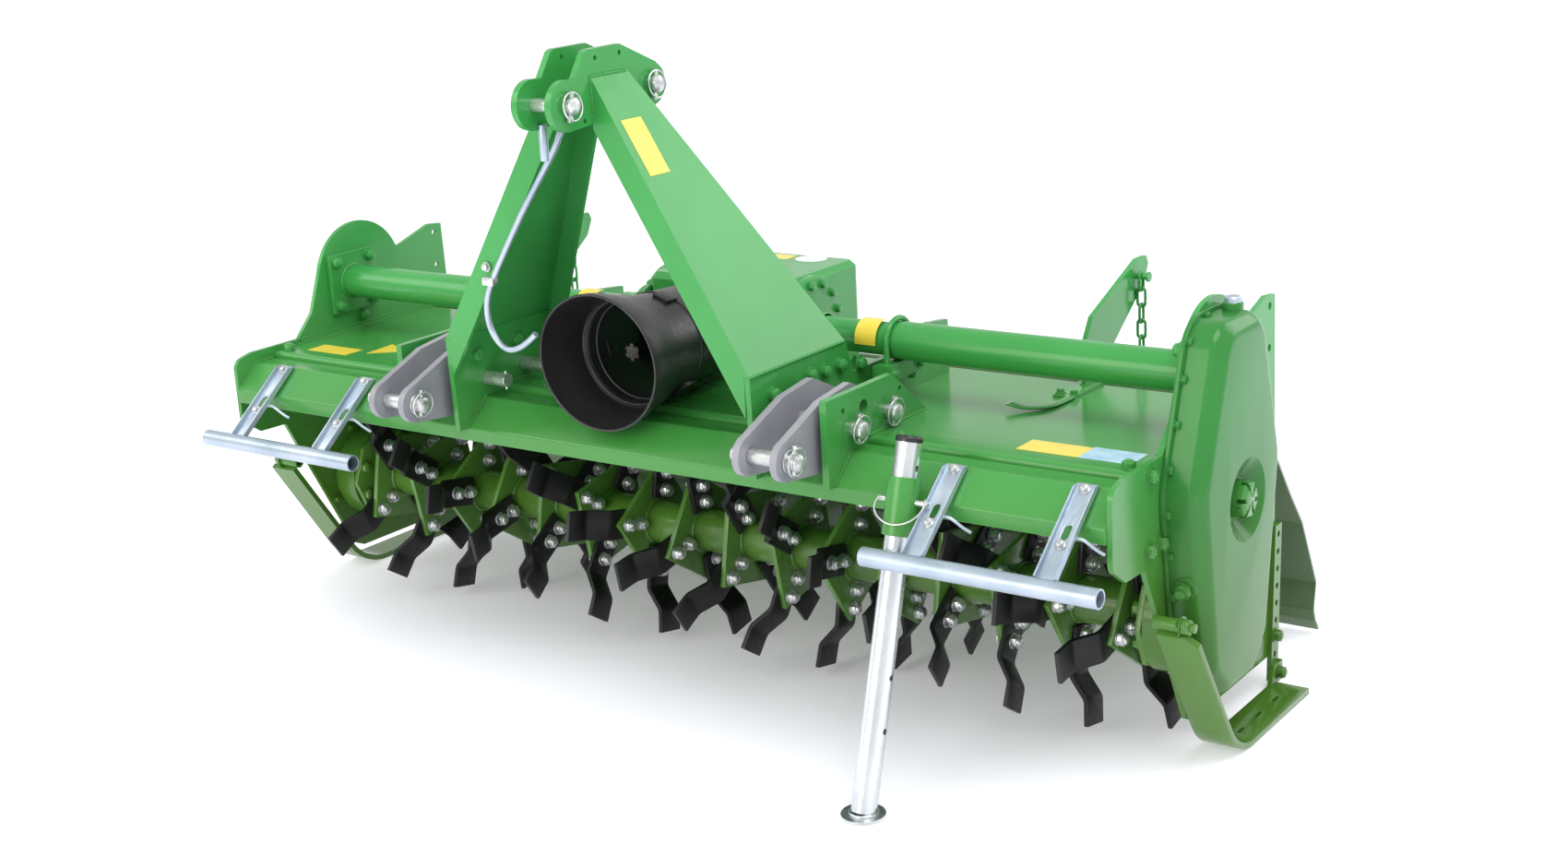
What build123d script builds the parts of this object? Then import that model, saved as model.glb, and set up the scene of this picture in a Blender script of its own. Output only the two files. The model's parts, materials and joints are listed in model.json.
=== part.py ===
from build123d import *
from math import cos, radians, sin
import os

# Three-point rotavator. +X runs along the machine to its gear case, -Y points at the
# tractor, +Z is up. The origin is on the floor, below the rotor's axis.

half_width = 1055.0
plate = 10.0
deck_z = 575.0
deck_front = -237.0
deck_rear = 250.0
deck_sheet = 5.0
deck_lip = 30.0

rotor_z = 240.0
rotor_tip = 234.0
rotor_tube_r = 45.0
rotor_reach = half_width - plate - 60.0
flange_count = 16
flange_side = 186.0
flange_sheet = 11.0
flange_first = -rotor_reach + 55.0
flange_pitch = -2 * flange_first / (flange_count - 1)
flange_start = -11.25
flange_turn = 22.5
blade_width = 62.0
blade_sheet = 9.0
blade_reach = 44.0

bearing_r = 104.0

tube_y = 7.0
tube_z = 687.0
tube_r = 36.5
tube_neck_r = 32.0
tube_flange = 135.0

hitch_half = 445.0
hitch_y = -445.0
hitch_z = 580.0
clevis_gap = 65.0
cheek = 15.0
hitch_pin_r = 14.0
pin_fit = 0.3

head_gap = 65.0
head_sheet = 14.0
top_pin_y = -435.0
top_pin_z = 1172.0
rear_pin_y = -197.0
rear_pin_z = 1183.0
top_pin_r = 12.5

centre_x = hitch_half - 88.0
centre_sheet = 12.0
centre_top = 697.0
outer_x = hitch_half + 62.0
outer_sheet = 14.0
mast_foot = 44.0
mast_depth = 50.0
mast_sheet = 9.0

beam_ridge_y = -350.0
beam_ridge_z = 512.0
beam_top_y = -292.0
beam_top_z = 562.0
beam_low_z = 484.0
beam_sheet = 6.0

gearbox_left = -150.0
gearbox_right = 190.0
gearbox_front = -15.0
gearbox_rear = 255.0
gearbox_top = 778.0

pto_z = 680.0
pto_r = 17.5
shield_r = 130.0
shield_front = -352.0
shield_rear = -60.0
shield_wall = 4.0

case_out = 62.0
case_rim = 14.0
rim_sheet = 9.0

skid_width = 72.0
skid_bar = 12.0
skid_top_y = -204.0
skid_top_z = 290.0
skid_bend_y = -24.0
skid_rear_y = 300.0
skid_bend_r = 120.0

guard_centre_left = half_width - 240.0
guard_centre_right = half_width - 193.0
guard_length = 446.0
guard_r = 17.0
guard_y = -450.0
guard_z = 434.0
guard_arm = 124.0

stand_x = half_width - 378.0
stand_lean = 17.0
stand_r = 22.5
stand_top_z = 617.0
stand_foot_r = 40.0
sleeve_wall = 6.0
sleeve_low = 460.0
sleeve_high = 556.0

hinge_y = 272.0
hinge_z = 560.0
hinge_r = 8.0
board_half = half_width - plate - 7.0
board_sheet = 5.0
arm_x = half_width - 337.0
arm_sheet = 10.0
arm_tip_y = 468.0
arm_tip_z = 782.0
chain_y = 421.0
chain_hole_z = 750.0
chain_bolt_r = 6.0
chain_wide = 22.0
seat = 0.3


def side(x):
    # A plane across the machine at x, with local x along +Y and local y up.
    return Plane.YZ.offset(x)


def front(y):
    # A plane facing the tractor at y, with local x along +X and local y up.
    return Plane.XZ.offset(-y)


def mirrored(piece):
    with BuildPart() as other:
        mirror(piece.part, about=Plane.YZ)
    return other


# Side plates: a nose by the front beam, a dome round the cross tube, an ear for the rear
# bolts, and a leg that narrows to the rotor's bearing.
dome_y, dome_z, dome_r = 40.0, 690.0, 127.0
ear_y, ear_z, ear_spacing = 285.0, 747.0, 78.0
plate_rear = 309.0
bolt_hole_r = 7.0


def side_outline():
    with BuildSketch() as outline:
        with BuildLine():
            Polyline(
                (-347, 440), (-347, 575), (-300, 586), (-165, 586), (-118, 635),
                (-84, 720), (172, 739), (268, 769), (plate_rear, 765), (327, 130),
                (300, 62), (-40, 62), (-66, 74), (-230, 405), (-300, 407), close=True,
            )
        make_face()
        fillet(outline.vertices().group_by(Axis.X)[0], 24)
        with Locations((dome_y, dome_z)):
            Circle(dome_r)
        with Locations((ear_y, ear_z), (ear_y, ear_z - ear_spacing)):
            Circle(bolt_hole_r, mode=Mode.SUBTRACT)
    return outline


plate_shape = side_outline()
with BuildPart() as side_plate_right:
    with BuildSketch(side(half_width - plate)):
        add(plate_shape.sketch)
    extrude(amount=plate)
with BuildPart() as side_plate_left:
    with BuildSketch(side(-half_width)):
        add(plate_shape.sketch)
    extrude(amount=plate)

inner_half = half_width - plate

# Front beam: a folded hollow section whose slope carries the guards and the hitch.
beam_outline = [
    (beam_ridge_y, beam_ridge_z), (beam_top_y, beam_top_z), (deck_front - 3, beam_top_z),
    (deck_front - 3, beam_low_z), (beam_ridge_y, beam_low_z),
]
with BuildPart() as front_beam:
    with BuildSketch(side(-inner_half)):
        with BuildLine():
            Polyline(*beam_outline, close=True)
        make_face()
        offset(amount=-beam_sheet, mode=Mode.SUBTRACT)
    extrude(amount=2 * inner_half)

# Deck: one sheet, turned down at the front against the beam and at the rear.
deck_mid = deck_z - deck_sheet / 2
with BuildPart() as deck:
    with BuildSketch(side(-inner_half)):
        with BuildLine():
            FilletPolyline(
                (deck_front, beam_top_z - deck_lip), (deck_front, deck_mid),
                (deck_rear, deck_mid), (deck_rear, deck_mid - deck_lip), radius=9,
            )
        trace(line_width=deck_sheet)
    extrude(amount=2 * inner_half)

# Gearbox with its round input boss.
boss_r = 88.0
boss_length = 95.0
with BuildPart() as gearbox:
    with BuildSketch(Plane.XY.offset(deck_z)):
        with Locations(((gearbox_left + gearbox_right) / 2, (gearbox_front + gearbox_rear) / 2)):
            Rectangle(gearbox_right - gearbox_left, gearbox_rear - gearbox_front)
    extrude(amount=gearbox_top - deck_z)
    fillet(gearbox.edges().filter_by(Axis.Z), 24)
    chamfer(gearbox.faces().sort_by(Axis.Z)[-1].edges(), 12)
    with BuildSketch(front(gearbox_front + 5)):
        with Locations((0, pto_z)):
            Circle(boss_r)
    extrude(amount=boss_length)
boss_face = gearbox_front + 5 - boss_length

# Input shaft, inside the shield.
shaft_length = 150.0
with BuildPart() as pto_shaft:
    with BuildSketch(front(boss_face - seat)):
        with Locations((0, pto_z)):
            Circle(pto_r)
    extrude(amount=shaft_length)

# Shield: a wide mouth that narrows to a collar on the gearbox boss.
collar_r = boss_r + seat + shield_wall / 2
with BuildPart() as pto_shield:
    with BuildSketch(Plane.YZ):
        with BuildLine():
            FilletPolyline(
                (shield_front, pto_z + shield_r - shield_wall / 2), (-290, pto_z + 111),
                (-257, pto_z + 108.5), (-238, pto_z + 99.5), (shield_rear, pto_z + collar_r),
                radius=10,
            )
        trace(line_width=shield_wall)
    revolve(axis=Axis((0, 0, pto_z), (0, 1, 0)))

# Cross tubes from the side plates to the gearbox, each with its bolted flanges and a
# narrower neck inside its clamp.
flange_thick = 12.0
clamp_x = hitch_half - 11.0


def cross_tube(x_side, x_box, square):
    way = 1 if x_box > x_side else -1
    with BuildPart() as tube:
        with BuildSketch(side(x_side)):
            with Locations((tube_y, tube_z)):
                Circle(tube_neck_r)
        extrude(amount=x_box - x_side)
        with BuildSketch(side(x_side)):
            with Locations((tube_y, tube_z)):
                Circle(tube_r)
        extrude(amount=way * (abs(x_side) - clamp_x + 10))
        with BuildSketch(side(x_side)):
            with Locations((tube_y, tube_z)):
                Rectangle(square, square)
        extrude(amount=way * flange_thick)
        with BuildSketch(side(x_box)):
            with Locations((tube_y, tube_z)):
                Circle(tube_r + 24)
        extrude(amount=-way * flange_thick)
    return tube


cross_tube_left = cross_tube(-inner_half, gearbox_left, tube_flange)
cross_tube_right = cross_tube(inner_half, gearbox_right, tube_flange)

# Clamps: a U bolt holds each tube on a block, and the block's bracket stands on the deck.
clamp_rod = 5.5
clamp_bar = 30.0
bracket_sheet = 12.0
clamp_run = tube_r + seat + clamp_rod
with BuildPart() as tube_clamp_right:
    with BuildSketch(side(clamp_x - clamp_bar / 2 - bracket_sheet)):
        with BuildLine():
            Polyline(
                (25, deck_z), (-45, 618), (-45, 645), (62, 645), (140, 690), (212, 682),
                (212, deck_z), close=True,
            )
        make_face()
    extrude(amount=bracket_sheet)
    with BuildSketch(side(clamp_x - clamp_bar / 2)):
        with Locations((tube_y, tube_z - tube_r - seat - 16)):
            Rectangle(120, 32)
    extrude(amount=clamp_bar)
    with BuildLine(side(clamp_x)) as clamp_line:
        Line((tube_y + clamp_run, tube_z - 55), (tube_y + clamp_run, tube_z))
        CenterArc((tube_y, tube_z), clamp_run, 0, 180)
        Line((tube_y - clamp_run, tube_z), (tube_y - clamp_run, tube_z - 55))
    with BuildSketch(Plane(origin=clamp_line.line @ 0, z_dir=clamp_line.line % 0)):
        Circle(clamp_rod)
    sweep(path=clamp_line.wires()[0])
tube_clamp_left = mirrored(tube_clamp_right)

# Centre plates: they stand on the beam's slope and the deck, and carry the mast legs.
beam_steps = [
    (beam_ridge_y, beam_low_z + 26), (beam_ridge_y, beam_ridge_z), (beam_top_y, beam_top_z),
    (deck_front - 2.5, beam_top_z), (deck_front - 2.5, deck_z),
]
pin_places = [(-285, 600), (-173, 604)]
with BuildPart() as centre_plate_right:
    with BuildSketch(side(centre_x)):
        with BuildLine():
            Polyline(
                (-379, centre_top), (-75, centre_top), (-52, 634), (60, 634), (96, deck_z),
                *reversed(beam_steps), (-374, beam_low_z + 26), close=True,
            )
        make_face()
        with Locations(*pin_places):
            Circle(hitch_pin_r + pin_fit, mode=Mode.SUBTRACT)
    extrude(amount=centre_sheet)
centre_plate_left = mirrored(centre_plate_right)

# Outer hitch plates.
with BuildPart() as outer_plate_right:
    with BuildSketch(side(outer_x)):
        with BuildLine():
            Polyline(
                (-367, 669), (-155, 669), (-40, deck_z), *reversed(beam_steps),
                (-367, beam_low_z + 26), close=True,
            )
        make_face()
        with Locations((-315, 640), (-130, 636)):
            Circle(5, mode=Mode.SUBTRACT)
        with Locations((-250, 632)):
            Circle(13, mode=Mode.SUBTRACT)
        with Locations(*pin_places):
            Circle(hitch_pin_r + pin_fit, mode=Mode.SUBTRACT)
    extrude(amount=outer_sheet)
outer_plate_left = mirrored(outer_plate_right)

# Lower hitch clevis: two cheeks joined by a spacer round each cross pin.
with BuildPart() as clevis_right:
    for x in (hitch_half - clevis_gap / 2 - cheek, hitch_half + clevis_gap / 2):
        with BuildSketch(side(x)):
            with BuildLine():
                Polyline(
                    (hitch_y - 20, hitch_z + 31), (-340, 660), (-247, 672), (-165, 632),
                    (-165, 578), (-262, 578), (-296, 566), (-338, 531), (hitch_y, 543),
                    close=True,
                )
            make_face()
            with Locations((hitch_y, hitch_z)):
                Circle(37)
                Circle(hitch_pin_r + pin_fit, mode=Mode.SUBTRACT)
            with Locations(*pin_places):
                Circle(hitch_pin_r + pin_fit, mode=Mode.SUBTRACT)
        extrude(amount=cheek)
    with BuildSketch(side(hitch_half - clevis_gap / 2)):
        with Locations(*pin_places):
            Circle(hitch_pin_r + 6)
            Circle(hitch_pin_r + pin_fit, mode=Mode.SUBTRACT)
    extrude(amount=clevis_gap)
clevis_left = mirrored(clevis_right)

# Lower hitch pins, and the cross pins that hold each clevis between its plates.
with BuildPart() as hitch_pin_right:
    with BuildSketch(side(hitch_half - clevis_gap / 2 - cheek - 20)):
        with Locations((hitch_y, hitch_z)):
            Circle(hitch_pin_r)
    extrude(amount=clevis_gap + 2 * cheek + 46)
hitch_pin_left = mirrored(hitch_pin_right)
with BuildPart() as clevis_pins_right:
    with BuildSketch(side(centre_x - 57)):
        with Locations(*pin_places):
            Circle(hitch_pin_r)
    extrude(amount=outer_x + outer_sheet + 24 - centre_x + 57)
clevis_pins_left = mirrored(clevis_pins_right)

# Headstock: two plates with a lobe for each pin.
head_inner = head_gap / 2
with BuildPart() as head_plate_right:
    with BuildSketch(side(head_inner)):
        with BuildLine():
            Polyline(
                (top_pin_y, 1126), (-360, 1132), (-190, 1143), (-180, 1221), (-282, 1265),
                (-370, 1264), (-380, 1260), (-410, 1217), (-425, 1215), close=True,
            )
        make_face()
        with Locations((top_pin_y, top_pin_z)):
            Circle(46)
        with Locations((rear_pin_y, rear_pin_z)):
            Circle(40)
        with Locations((top_pin_y, top_pin_z), (rear_pin_y, rear_pin_z)):
            Circle(top_pin_r + pin_fit, mode=Mode.SUBTRACT)
        with Locations((-352, 1247), (-284, 1249), (-391, 1139)):
            Circle(4.5, mode=Mode.SUBTRACT)
    extrude(amount=head_sheet)
head_plate_left = mirrored(head_plate_right)
head_outer = head_inner + head_sheet


def cross_pin(y, z, half, radius):
    with BuildPart() as pin:
        with BuildSketch(side(-half)):
            with Locations((y, z)):
                Circle(radius)
        extrude(amount=2 * half)
    return pin


top_pin = cross_pin(top_pin_y, top_pin_z, head_outer + 12, top_pin_r)
rear_pin = cross_pin(rear_pin_y, rear_pin_z, head_outer + 12, top_pin_r)

# Mast legs: channels that lean from the centre plates to the headstock.
leg_out = centre_x + centre_sheet
leg_rise = 1217.0 - centre_top
leg_run = leg_out - head_outer
leg_length = (leg_rise**2 + leg_run**2) ** 0.5
leg_plane = Plane(
    origin=(leg_out, 0, centre_top), x_dir=(0, 1, 0),
    z_dir=(leg_rise / leg_length, 0, leg_run / leg_length),
)
leg_low = 90.0
leg_front_low, leg_front_high = -379.0, -370.0
leg_rear_low, leg_rear_high = -75.0, -265.0


def leg_outline(inset):
    front_slope = (leg_front_high - leg_front_low) / leg_length
    rear_slope = (leg_rear_high - leg_rear_low) / leg_length
    low, high = -leg_low, leg_length + 40
    return [
        (leg_front_low + front_slope * low + inset, low),
        (leg_rear_low + rear_slope * low - inset, low),
        (leg_rear_low + rear_slope * high - inset, high),
        (leg_front_low + front_slope * high + inset, high),
    ]


with BuildPart() as mast_leg_right:
    with BuildSketch(leg_plane):
        with BuildLine():
            Polyline(*leg_outline(0), close=True)
        make_face()
    extrude(amount=-mast_depth)
    with BuildSketch(leg_plane.offset(-mast_sheet)):
        with BuildLine():
            Polyline(*leg_outline(mast_sheet), close=True)
        make_face()
    extrude(amount=-mast_depth, mode=Mode.SUBTRACT)
    split(bisect_by=Plane.YZ.offset(head_outer), keep=Keep.TOP)
    split(bisect_by=Plane.XY.offset(hitch_z + mast_foot), keep=Keep.TOP)
    with Locations((centre_x, 0, centre_top)):
        Box(300, 1000, 300, align=(Align.MIN, Align.CENTER, Align.MAX), mode=Mode.SUBTRACT)
mast_leg_left = mirrored(mast_leg_right)

# Rotor: square flanges on a tube, each corner with an L blade bolted flat to it.
flange_r = flange_side / 2


def blade():
    # A flat shank on the flange's face, bent aside and back again into the cutting leg.
    with BuildPart() as one:
        with BuildSketch(Plane.XZ.offset(-blade_width / 2)):
            with BuildLine():
                FilletPolyline(
                    (flange_r * 0.75, blade_sheet / 2), (rotor_tip - 92, blade_sheet / 2),
                    (rotor_tip - 52, blade_reach - 5), (rotor_tip - 3, blade_reach), radius=22,
                )
            trace(line_width=blade_sheet)
        extrude(amount=blade_width)
    return one.part


one_blade = blade()
rotor_end = 12.0
rotor_end_r = 106.0
with BuildPart() as rotor:
    with BuildSketch(side(-rotor_reach)):
        with Locations((0, rotor_z)):
            Circle(rotor_tube_r)
    extrude(amount=2 * rotor_reach)
    for i in range(flange_count):
        x = flange_first + i * flange_pitch
        turn = flange_start + i * flange_turn
        with BuildSketch(side(x)):
            with Locations(Location((0, rotor_z), turn)):
                Rectangle(flange_side, flange_side)
        extrude(amount=flange_sheet)
        for k in range(4):
            way = 1 if k % 2 else -1
            start = x + flange_sheet if way > 0 else x
            spoke = turn + 45 + 90 * k
            spot = Plane(
                origin=(start, 0, rotor_z),
                x_dir=(0, cos(radians(spoke)), sin(radians(spoke))),
                z_dir=(way, 0, 0),
            )
            add(spot.location * one_blade)
    for x, way in ((-rotor_reach, 1), (rotor_reach, -1)):
        with BuildSketch(side(x)):
            with Locations((0, rotor_z)):
                RegularPolygon(rotor_end_r, 8)
        extrude(amount=way * rotor_end)

# Bearing housings, bolted to the side plates outside the rotor's ends.
with BuildPart() as bearing_left:
    with BuildSketch(side(-inner_half)):
        with Locations((0, rotor_z)):
            Circle(bearing_r)
    extrude(amount=inner_half - rotor_reach - seat)
bearing_right = mirrored(bearing_left)

# Gear case on the right side plate: rim, domed face and the dish for the shaft's nut.


def case_outline(grow):
    with BuildSketch() as outline:
        with BuildLine():
            Polyline(
                (-70 - grow, 790 + grow * 0.7), (90 + grow, 790 + grow * 0.7),
                (168 + grow, 520), (118 + grow, 190), (55 + grow, 128 - grow),
                (-60 - grow, 128 - grow), (-122 - grow, 190), (-168 - grow, 520), close=True,
            )
        make_face()
        fillet(outline.vertices(), 40)
    return outline


rim_shape = case_outline(case_rim)
base_shape = case_outline(-4)
face_shape = case_outline(-24)
dish_y, dish_z = 15.0, 469.0
case_face = half_width + case_out + 14
dish_deep = 26.0
with BuildPart() as gear_case:
    with BuildSketch(side(half_width)):
        add(rim_shape.sketch)
    extrude(amount=rim_sheet)
    with BuildSketch(side(half_width + rim_sheet)):
        add(base_shape.sketch)
    with BuildSketch(side(half_width + case_out)):
        add(base_shape.sketch)
    loft()
    with BuildSketch(side(half_width + case_out)):
        add(base_shape.sketch)
    with BuildSketch(side(case_face)):
        add(face_shape.sketch)
    loft()
    with Locations(Location((case_face, dish_y, dish_z), (0, -90, 0))):
        Cone(54, 34, dish_deep, align=(Align.CENTER, Align.CENTER, Align.MIN), mode=Mode.SUBTRACT)

# Castellated nut in the dish.
with BuildPart() as case_nut:
    with BuildSketch(side(case_face - dish_deep)):
        with Locations((dish_y, dish_z)):
            RegularPolygon(24, 6)
    extrude(amount=36)


# Skids: a bent bar under each end, hung on a front spacer and a rear strap.
strap_sheet = 9.0
skid_x = half_width + strap_sheet + seat
spacer_y, spacer_z, spacer_r = -196.0, 304.0, 12.0
lug_sheet = 9.0
with BuildPart() as skid_right:
    with BuildSketch(side(skid_x)):
        with BuildLine():
            FilletPolyline(
                (skid_top_y, skid_top_z), (skid_bend_y, skid_bar / 2),
                (skid_rear_y, skid_bar / 2), radius=skid_bend_r,
            )
        trace(line_width=skid_bar)
    extrude(amount=skid_width)
    with BuildSketch(side(half_width + seat)):
        with Locations((spacer_y, spacer_z)):
            Circle(spacer_r)
            Circle(spacer_r - 5, mode=Mode.SUBTRACT)
    extrude(amount=50)
    with BuildSketch(side(skid_x)):
        with BuildLine():
            Polyline((270, skid_bar - 1), (324, skid_bar - 1), (324, 50), (284, 50), close=True)
        make_face()
        with Locations((306, 31)):
            Circle(6, mode=Mode.SUBTRACT)
    extrude(amount=lug_sheet)
skid_left = mirrored(skid_right)

with BuildPart() as skid_strap_right:
    with BuildSketch(side(half_width)):
        with BuildLine():
            Polyline((290, 14), (322, 14), (334, 322), (304, 322), close=True)
        make_face()
        with Locations(*[(306 + 1.6 * i, 31 + 34 * i) for i in range(9)]):
            Circle(6, mode=Mode.SUBTRACT)
    extrude(amount=strap_sheet)
skid_strap_left = mirrored(skid_strap_right)

# Front guards: a tube on two bent straps bolted to the beam's slope.
def slope_line(rise):
    # The beam's slope, lifted off its face.
    run, climb = beam_top_y - beam_ridge_y, beam_top_z - beam_ridge_z
    length = (run**2 + climb**2) ** 0.5
    out_y, out_z = -climb / length * rise, run / length * rise
    return [(beam_ridge_y + out_y, beam_ridge_z + out_z), (beam_top_y + out_y, beam_top_z + out_z)]


def guard(centre):
    with BuildPart() as one:
        with BuildSketch(side(centre - guard_length / 2)):
            with Locations((guard_y, guard_z)):
                Circle(guard_r)
                Circle(guard_r - 3, mode=Mode.SUBTRACT)
        extrude(amount=guard_length)
        for x in (centre - guard_arm, centre + guard_arm):
            with BuildSketch(side(x - strap_wide / 2)):
                with BuildLine():
                    Polyline((guard_y + 8, guard_z + guard_r - 4), *slope_line(seat + 2.5))
                trace(line_width=5)
            extrude(amount=strap_wide)
    return one


strap_wide = 40.0
guard_left = guard(-guard_centre_left)
guard_right = guard(guard_centre_right)

# Stand: a leaning sleeve on the beam, and the leg that slides in it.
lean = radians(stand_lean)
stand_axis = (0, sin(lean), cos(lean))


sleeve_r = stand_r + pin_fit + sleeve_wall
stand_ridge_y = beam_ridge_y - (sleeve_r + seat) / cos(lean)


def stand_plane(z):
    # The stand's axis passes in front of the beam's ridge by the sleeve's radius.
    return Plane(
        origin=(stand_x, stand_ridge_y + (z - beam_ridge_z) * sin(lean) / cos(lean), z),
        x_dir=(1, 0, 0), z_dir=stand_axis,
    )


sleeve_length = (sleeve_high - sleeve_low) / cos(lean)
with BuildPart() as stand_sleeve:
    with BuildSketch(stand_plane(sleeve_low)):
        Circle(sleeve_r)
        Circle(stand_r + pin_fit, mode=Mode.SUBTRACT)
    extrude(amount=sleeve_length)
foot_sheet = 6.0
with BuildPart() as stand_leg:
    with BuildSketch(stand_plane(foot_sheet)):
        Circle(stand_r)
    extrude(amount=(stand_top_z - foot_sheet) / cos(lean))
    with BuildSketch(Plane.XY):
        with Locations((stand_x, stand_plane(0).origin.Y)):
            Circle(stand_foot_r)
    extrude(amount=foot_sheet)

# Hook rod, clipped to the left mast leg.
rod_r = 6.0
rod_y = -383.2
rod_mid = 42 + leg_run * (832 - centre_top) / leg_rise - leg_out
with BuildPart() as hook_rod:
    with BuildLine(front(rod_y)) as rod_line:
        FilletPolyline(
            (rod_mid + 231, 1115), (rod_mid + 219, 1088), (rod_mid, 832), (rod_mid - 13, 770),
            (rod_mid + 11, 700), (rod_mid + 65, 688), (rod_mid + 115, 728), radius=22,
        )
    with BuildSketch(Plane(origin=rod_line.line @ 0, z_dir=rod_line.line % 0)):
        Circle(rod_r)
    sweep()

# Rear board: a bowed sheet on a hinge tube behind the deck.
board_points = [
    (hinge_y + 8, hinge_z - 9), (443, 336), (501, 266), (580, 116), (570, 60), (580, 34),
    (598, 10),
]
chain_x = arm_x + arm_sheet / 2 + seat + chain_wide / 2
lug_y, lug_z = chain_y, 392.0
with BuildPart() as rear_board:
    with BuildSketch(side(-board_half)):
        with BuildLine():
            FilletPolyline(*board_points, radius=12)
        trace(line_width=board_sheet)
        with Locations((hinge_y, hinge_z)):
            Circle(hinge_r + 6)
            Circle(hinge_r, mode=Mode.SUBTRACT)
    extrude(amount=2 * board_half)
    for x in (-chain_x, chain_x):
        with BuildSketch(side(x - 4)):
            with BuildLine():
                Polyline((404, 383), (434, 345), (434, lug_z), (408, lug_z), close=True)
            make_face()
        extrude(amount=8)

with BuildPart() as hinge_rod:
    with BuildSketch(side(-inner_half)):
        with Locations((hinge_y, hinge_z)):
            Circle(hinge_r - 0.3)
    extrude(amount=2 * inner_half)

# Chain arms on the deck's rear edge, each with the chain that stops the board.
with BuildPart() as chain_arm_right:
    with BuildSketch(side(arm_x - arm_sheet / 2)):
        with BuildLine():
            Polyline(
                (206, deck_z), (211, 668), (237, 707), (arm_tip_y - 41, arm_tip_z),
                (arm_tip_y, arm_tip_z), (arm_tip_y + 8, arm_tip_z - 17),
                (arm_tip_y - 10, arm_tip_z - 52), (325, 637), (246, deck_z), close=True,
            )
        make_face()
        with Locations((chain_y, chain_hole_z)):
            Circle(chain_bolt_r)
    extrude(amount=arm_sheet)
    with Locations((arm_x, 186, deck_z)):
        Box(46, 120, 6, align=(Align.CENTER, Align.CENTER, Align.MIN))
    with BuildSketch(side(arm_x)):
        with Locations((chain_y, chain_hole_z)):
            Circle(chain_bolt_r)
    extrude(amount=chain_x - arm_x + chain_wide / 2 + 2)
    with BuildSketch(side(chain_x + chain_wide / 2 + 2)):
        with Locations((chain_y, chain_hole_z)):
            Circle(chain_bolt_r + 4)
    extrude(amount=5)
chain_arm_left = mirrored(chain_arm_right)

chain_low = lug_z + seat
chain_top = chain_hole_z - chain_bolt_r - seat
with BuildPart() as chain_right:
    with BuildSketch(Plane.XY.offset(chain_low)):
        with Locations((chain_x, chain_y)):
            Circle(chain_wide / 2)
    extrude(amount=chain_top - chain_low)
chain_left = mirrored(chain_right)

pieces = {
    "side_plate_left": side_plate_left,
    "side_plate_right": side_plate_right,
    "front_beam": front_beam,
    "deck": deck,
    "gearbox": gearbox,
    "pto_shaft": pto_shaft,
    "pto_shield": pto_shield,
    "cross_tube_left": cross_tube_left,
    "cross_tube_right": cross_tube_right,
    "tube_clamp_left": tube_clamp_left,
    "tube_clamp_right": tube_clamp_right,
    "centre_plate_left": centre_plate_left,
    "centre_plate_right": centre_plate_right,
    "outer_plate_left": outer_plate_left,
    "outer_plate_right": outer_plate_right,
    "clevis_left": clevis_left,
    "clevis_right": clevis_right,
    "hitch_pin_left": hitch_pin_left,
    "hitch_pin_right": hitch_pin_right,
    "clevis_pins_left": clevis_pins_left,
    "clevis_pins_right": clevis_pins_right,
    "head_plate_left": head_plate_left,
    "head_plate_right": head_plate_right,
    "top_pin": top_pin,
    "rear_pin": rear_pin,
    "mast_leg_left": mast_leg_left,
    "mast_leg_right": mast_leg_right,
    "rotor": rotor,
    "bearing_left": bearing_left,
    "bearing_right": bearing_right,
    "gear_case": gear_case,
    "case_nut": case_nut,
    "skid_left": skid_left,
    "skid_right": skid_right,
    "skid_strap_left": skid_strap_left,
    "skid_strap_right": skid_strap_right,
    "guard_left": guard_left,
    "guard_right": guard_right,
    "stand_sleeve": stand_sleeve,
    "stand_leg": stand_leg,
    "hook_rod": hook_rod,
    "rear_board": rear_board,
    "hinge_rod": hinge_rod,
    "chain_arm_left": chain_arm_left,
    "chain_arm_right": chain_arm_right,
    "chain_left": chain_left,
    "chain_right": chain_right,
}
os.makedirs("parts", exist_ok=True)
for name, piece in pieces.items():
    piece.part.label = name
    export_step(piece.part, f"parts/{name}.step")
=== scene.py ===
import json
import math

import bmesh
import bpy
from mathutils import Matrix, Vector


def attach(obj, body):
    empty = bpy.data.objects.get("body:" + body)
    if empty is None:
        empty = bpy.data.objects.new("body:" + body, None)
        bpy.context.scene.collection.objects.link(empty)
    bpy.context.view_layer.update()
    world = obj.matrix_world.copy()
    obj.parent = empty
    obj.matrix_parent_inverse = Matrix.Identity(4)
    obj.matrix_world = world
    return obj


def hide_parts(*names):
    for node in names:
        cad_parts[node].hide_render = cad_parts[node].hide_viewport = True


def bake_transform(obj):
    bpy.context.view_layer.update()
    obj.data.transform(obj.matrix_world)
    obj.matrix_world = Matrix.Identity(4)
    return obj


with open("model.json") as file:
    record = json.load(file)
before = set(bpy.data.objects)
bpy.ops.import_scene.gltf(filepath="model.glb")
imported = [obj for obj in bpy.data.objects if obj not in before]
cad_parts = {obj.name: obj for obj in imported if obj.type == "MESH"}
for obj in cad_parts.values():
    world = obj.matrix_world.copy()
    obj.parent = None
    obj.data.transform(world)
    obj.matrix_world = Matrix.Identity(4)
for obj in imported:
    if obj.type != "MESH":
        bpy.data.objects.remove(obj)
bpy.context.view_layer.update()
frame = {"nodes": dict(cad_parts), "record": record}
cadNodes = frame["nodes"]
print("frame loaded:", len(cadNodes), "nodes")


# Small tools for working on one mesh at a time.
def pick(piece):
    bpy.ops.object.select_all(action="DESELECT")
    piece.select_set(True)
    bpy.context.view_layer.objects.active = piece


def openEdit(piece, what="FACE"):
    pick(piece)
    bpy.ops.object.mode_set(mode="EDIT")
    bpy.ops.mesh.select_mode(type=what)
    bpy.ops.mesh.select_all(action="DESELECT")


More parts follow.
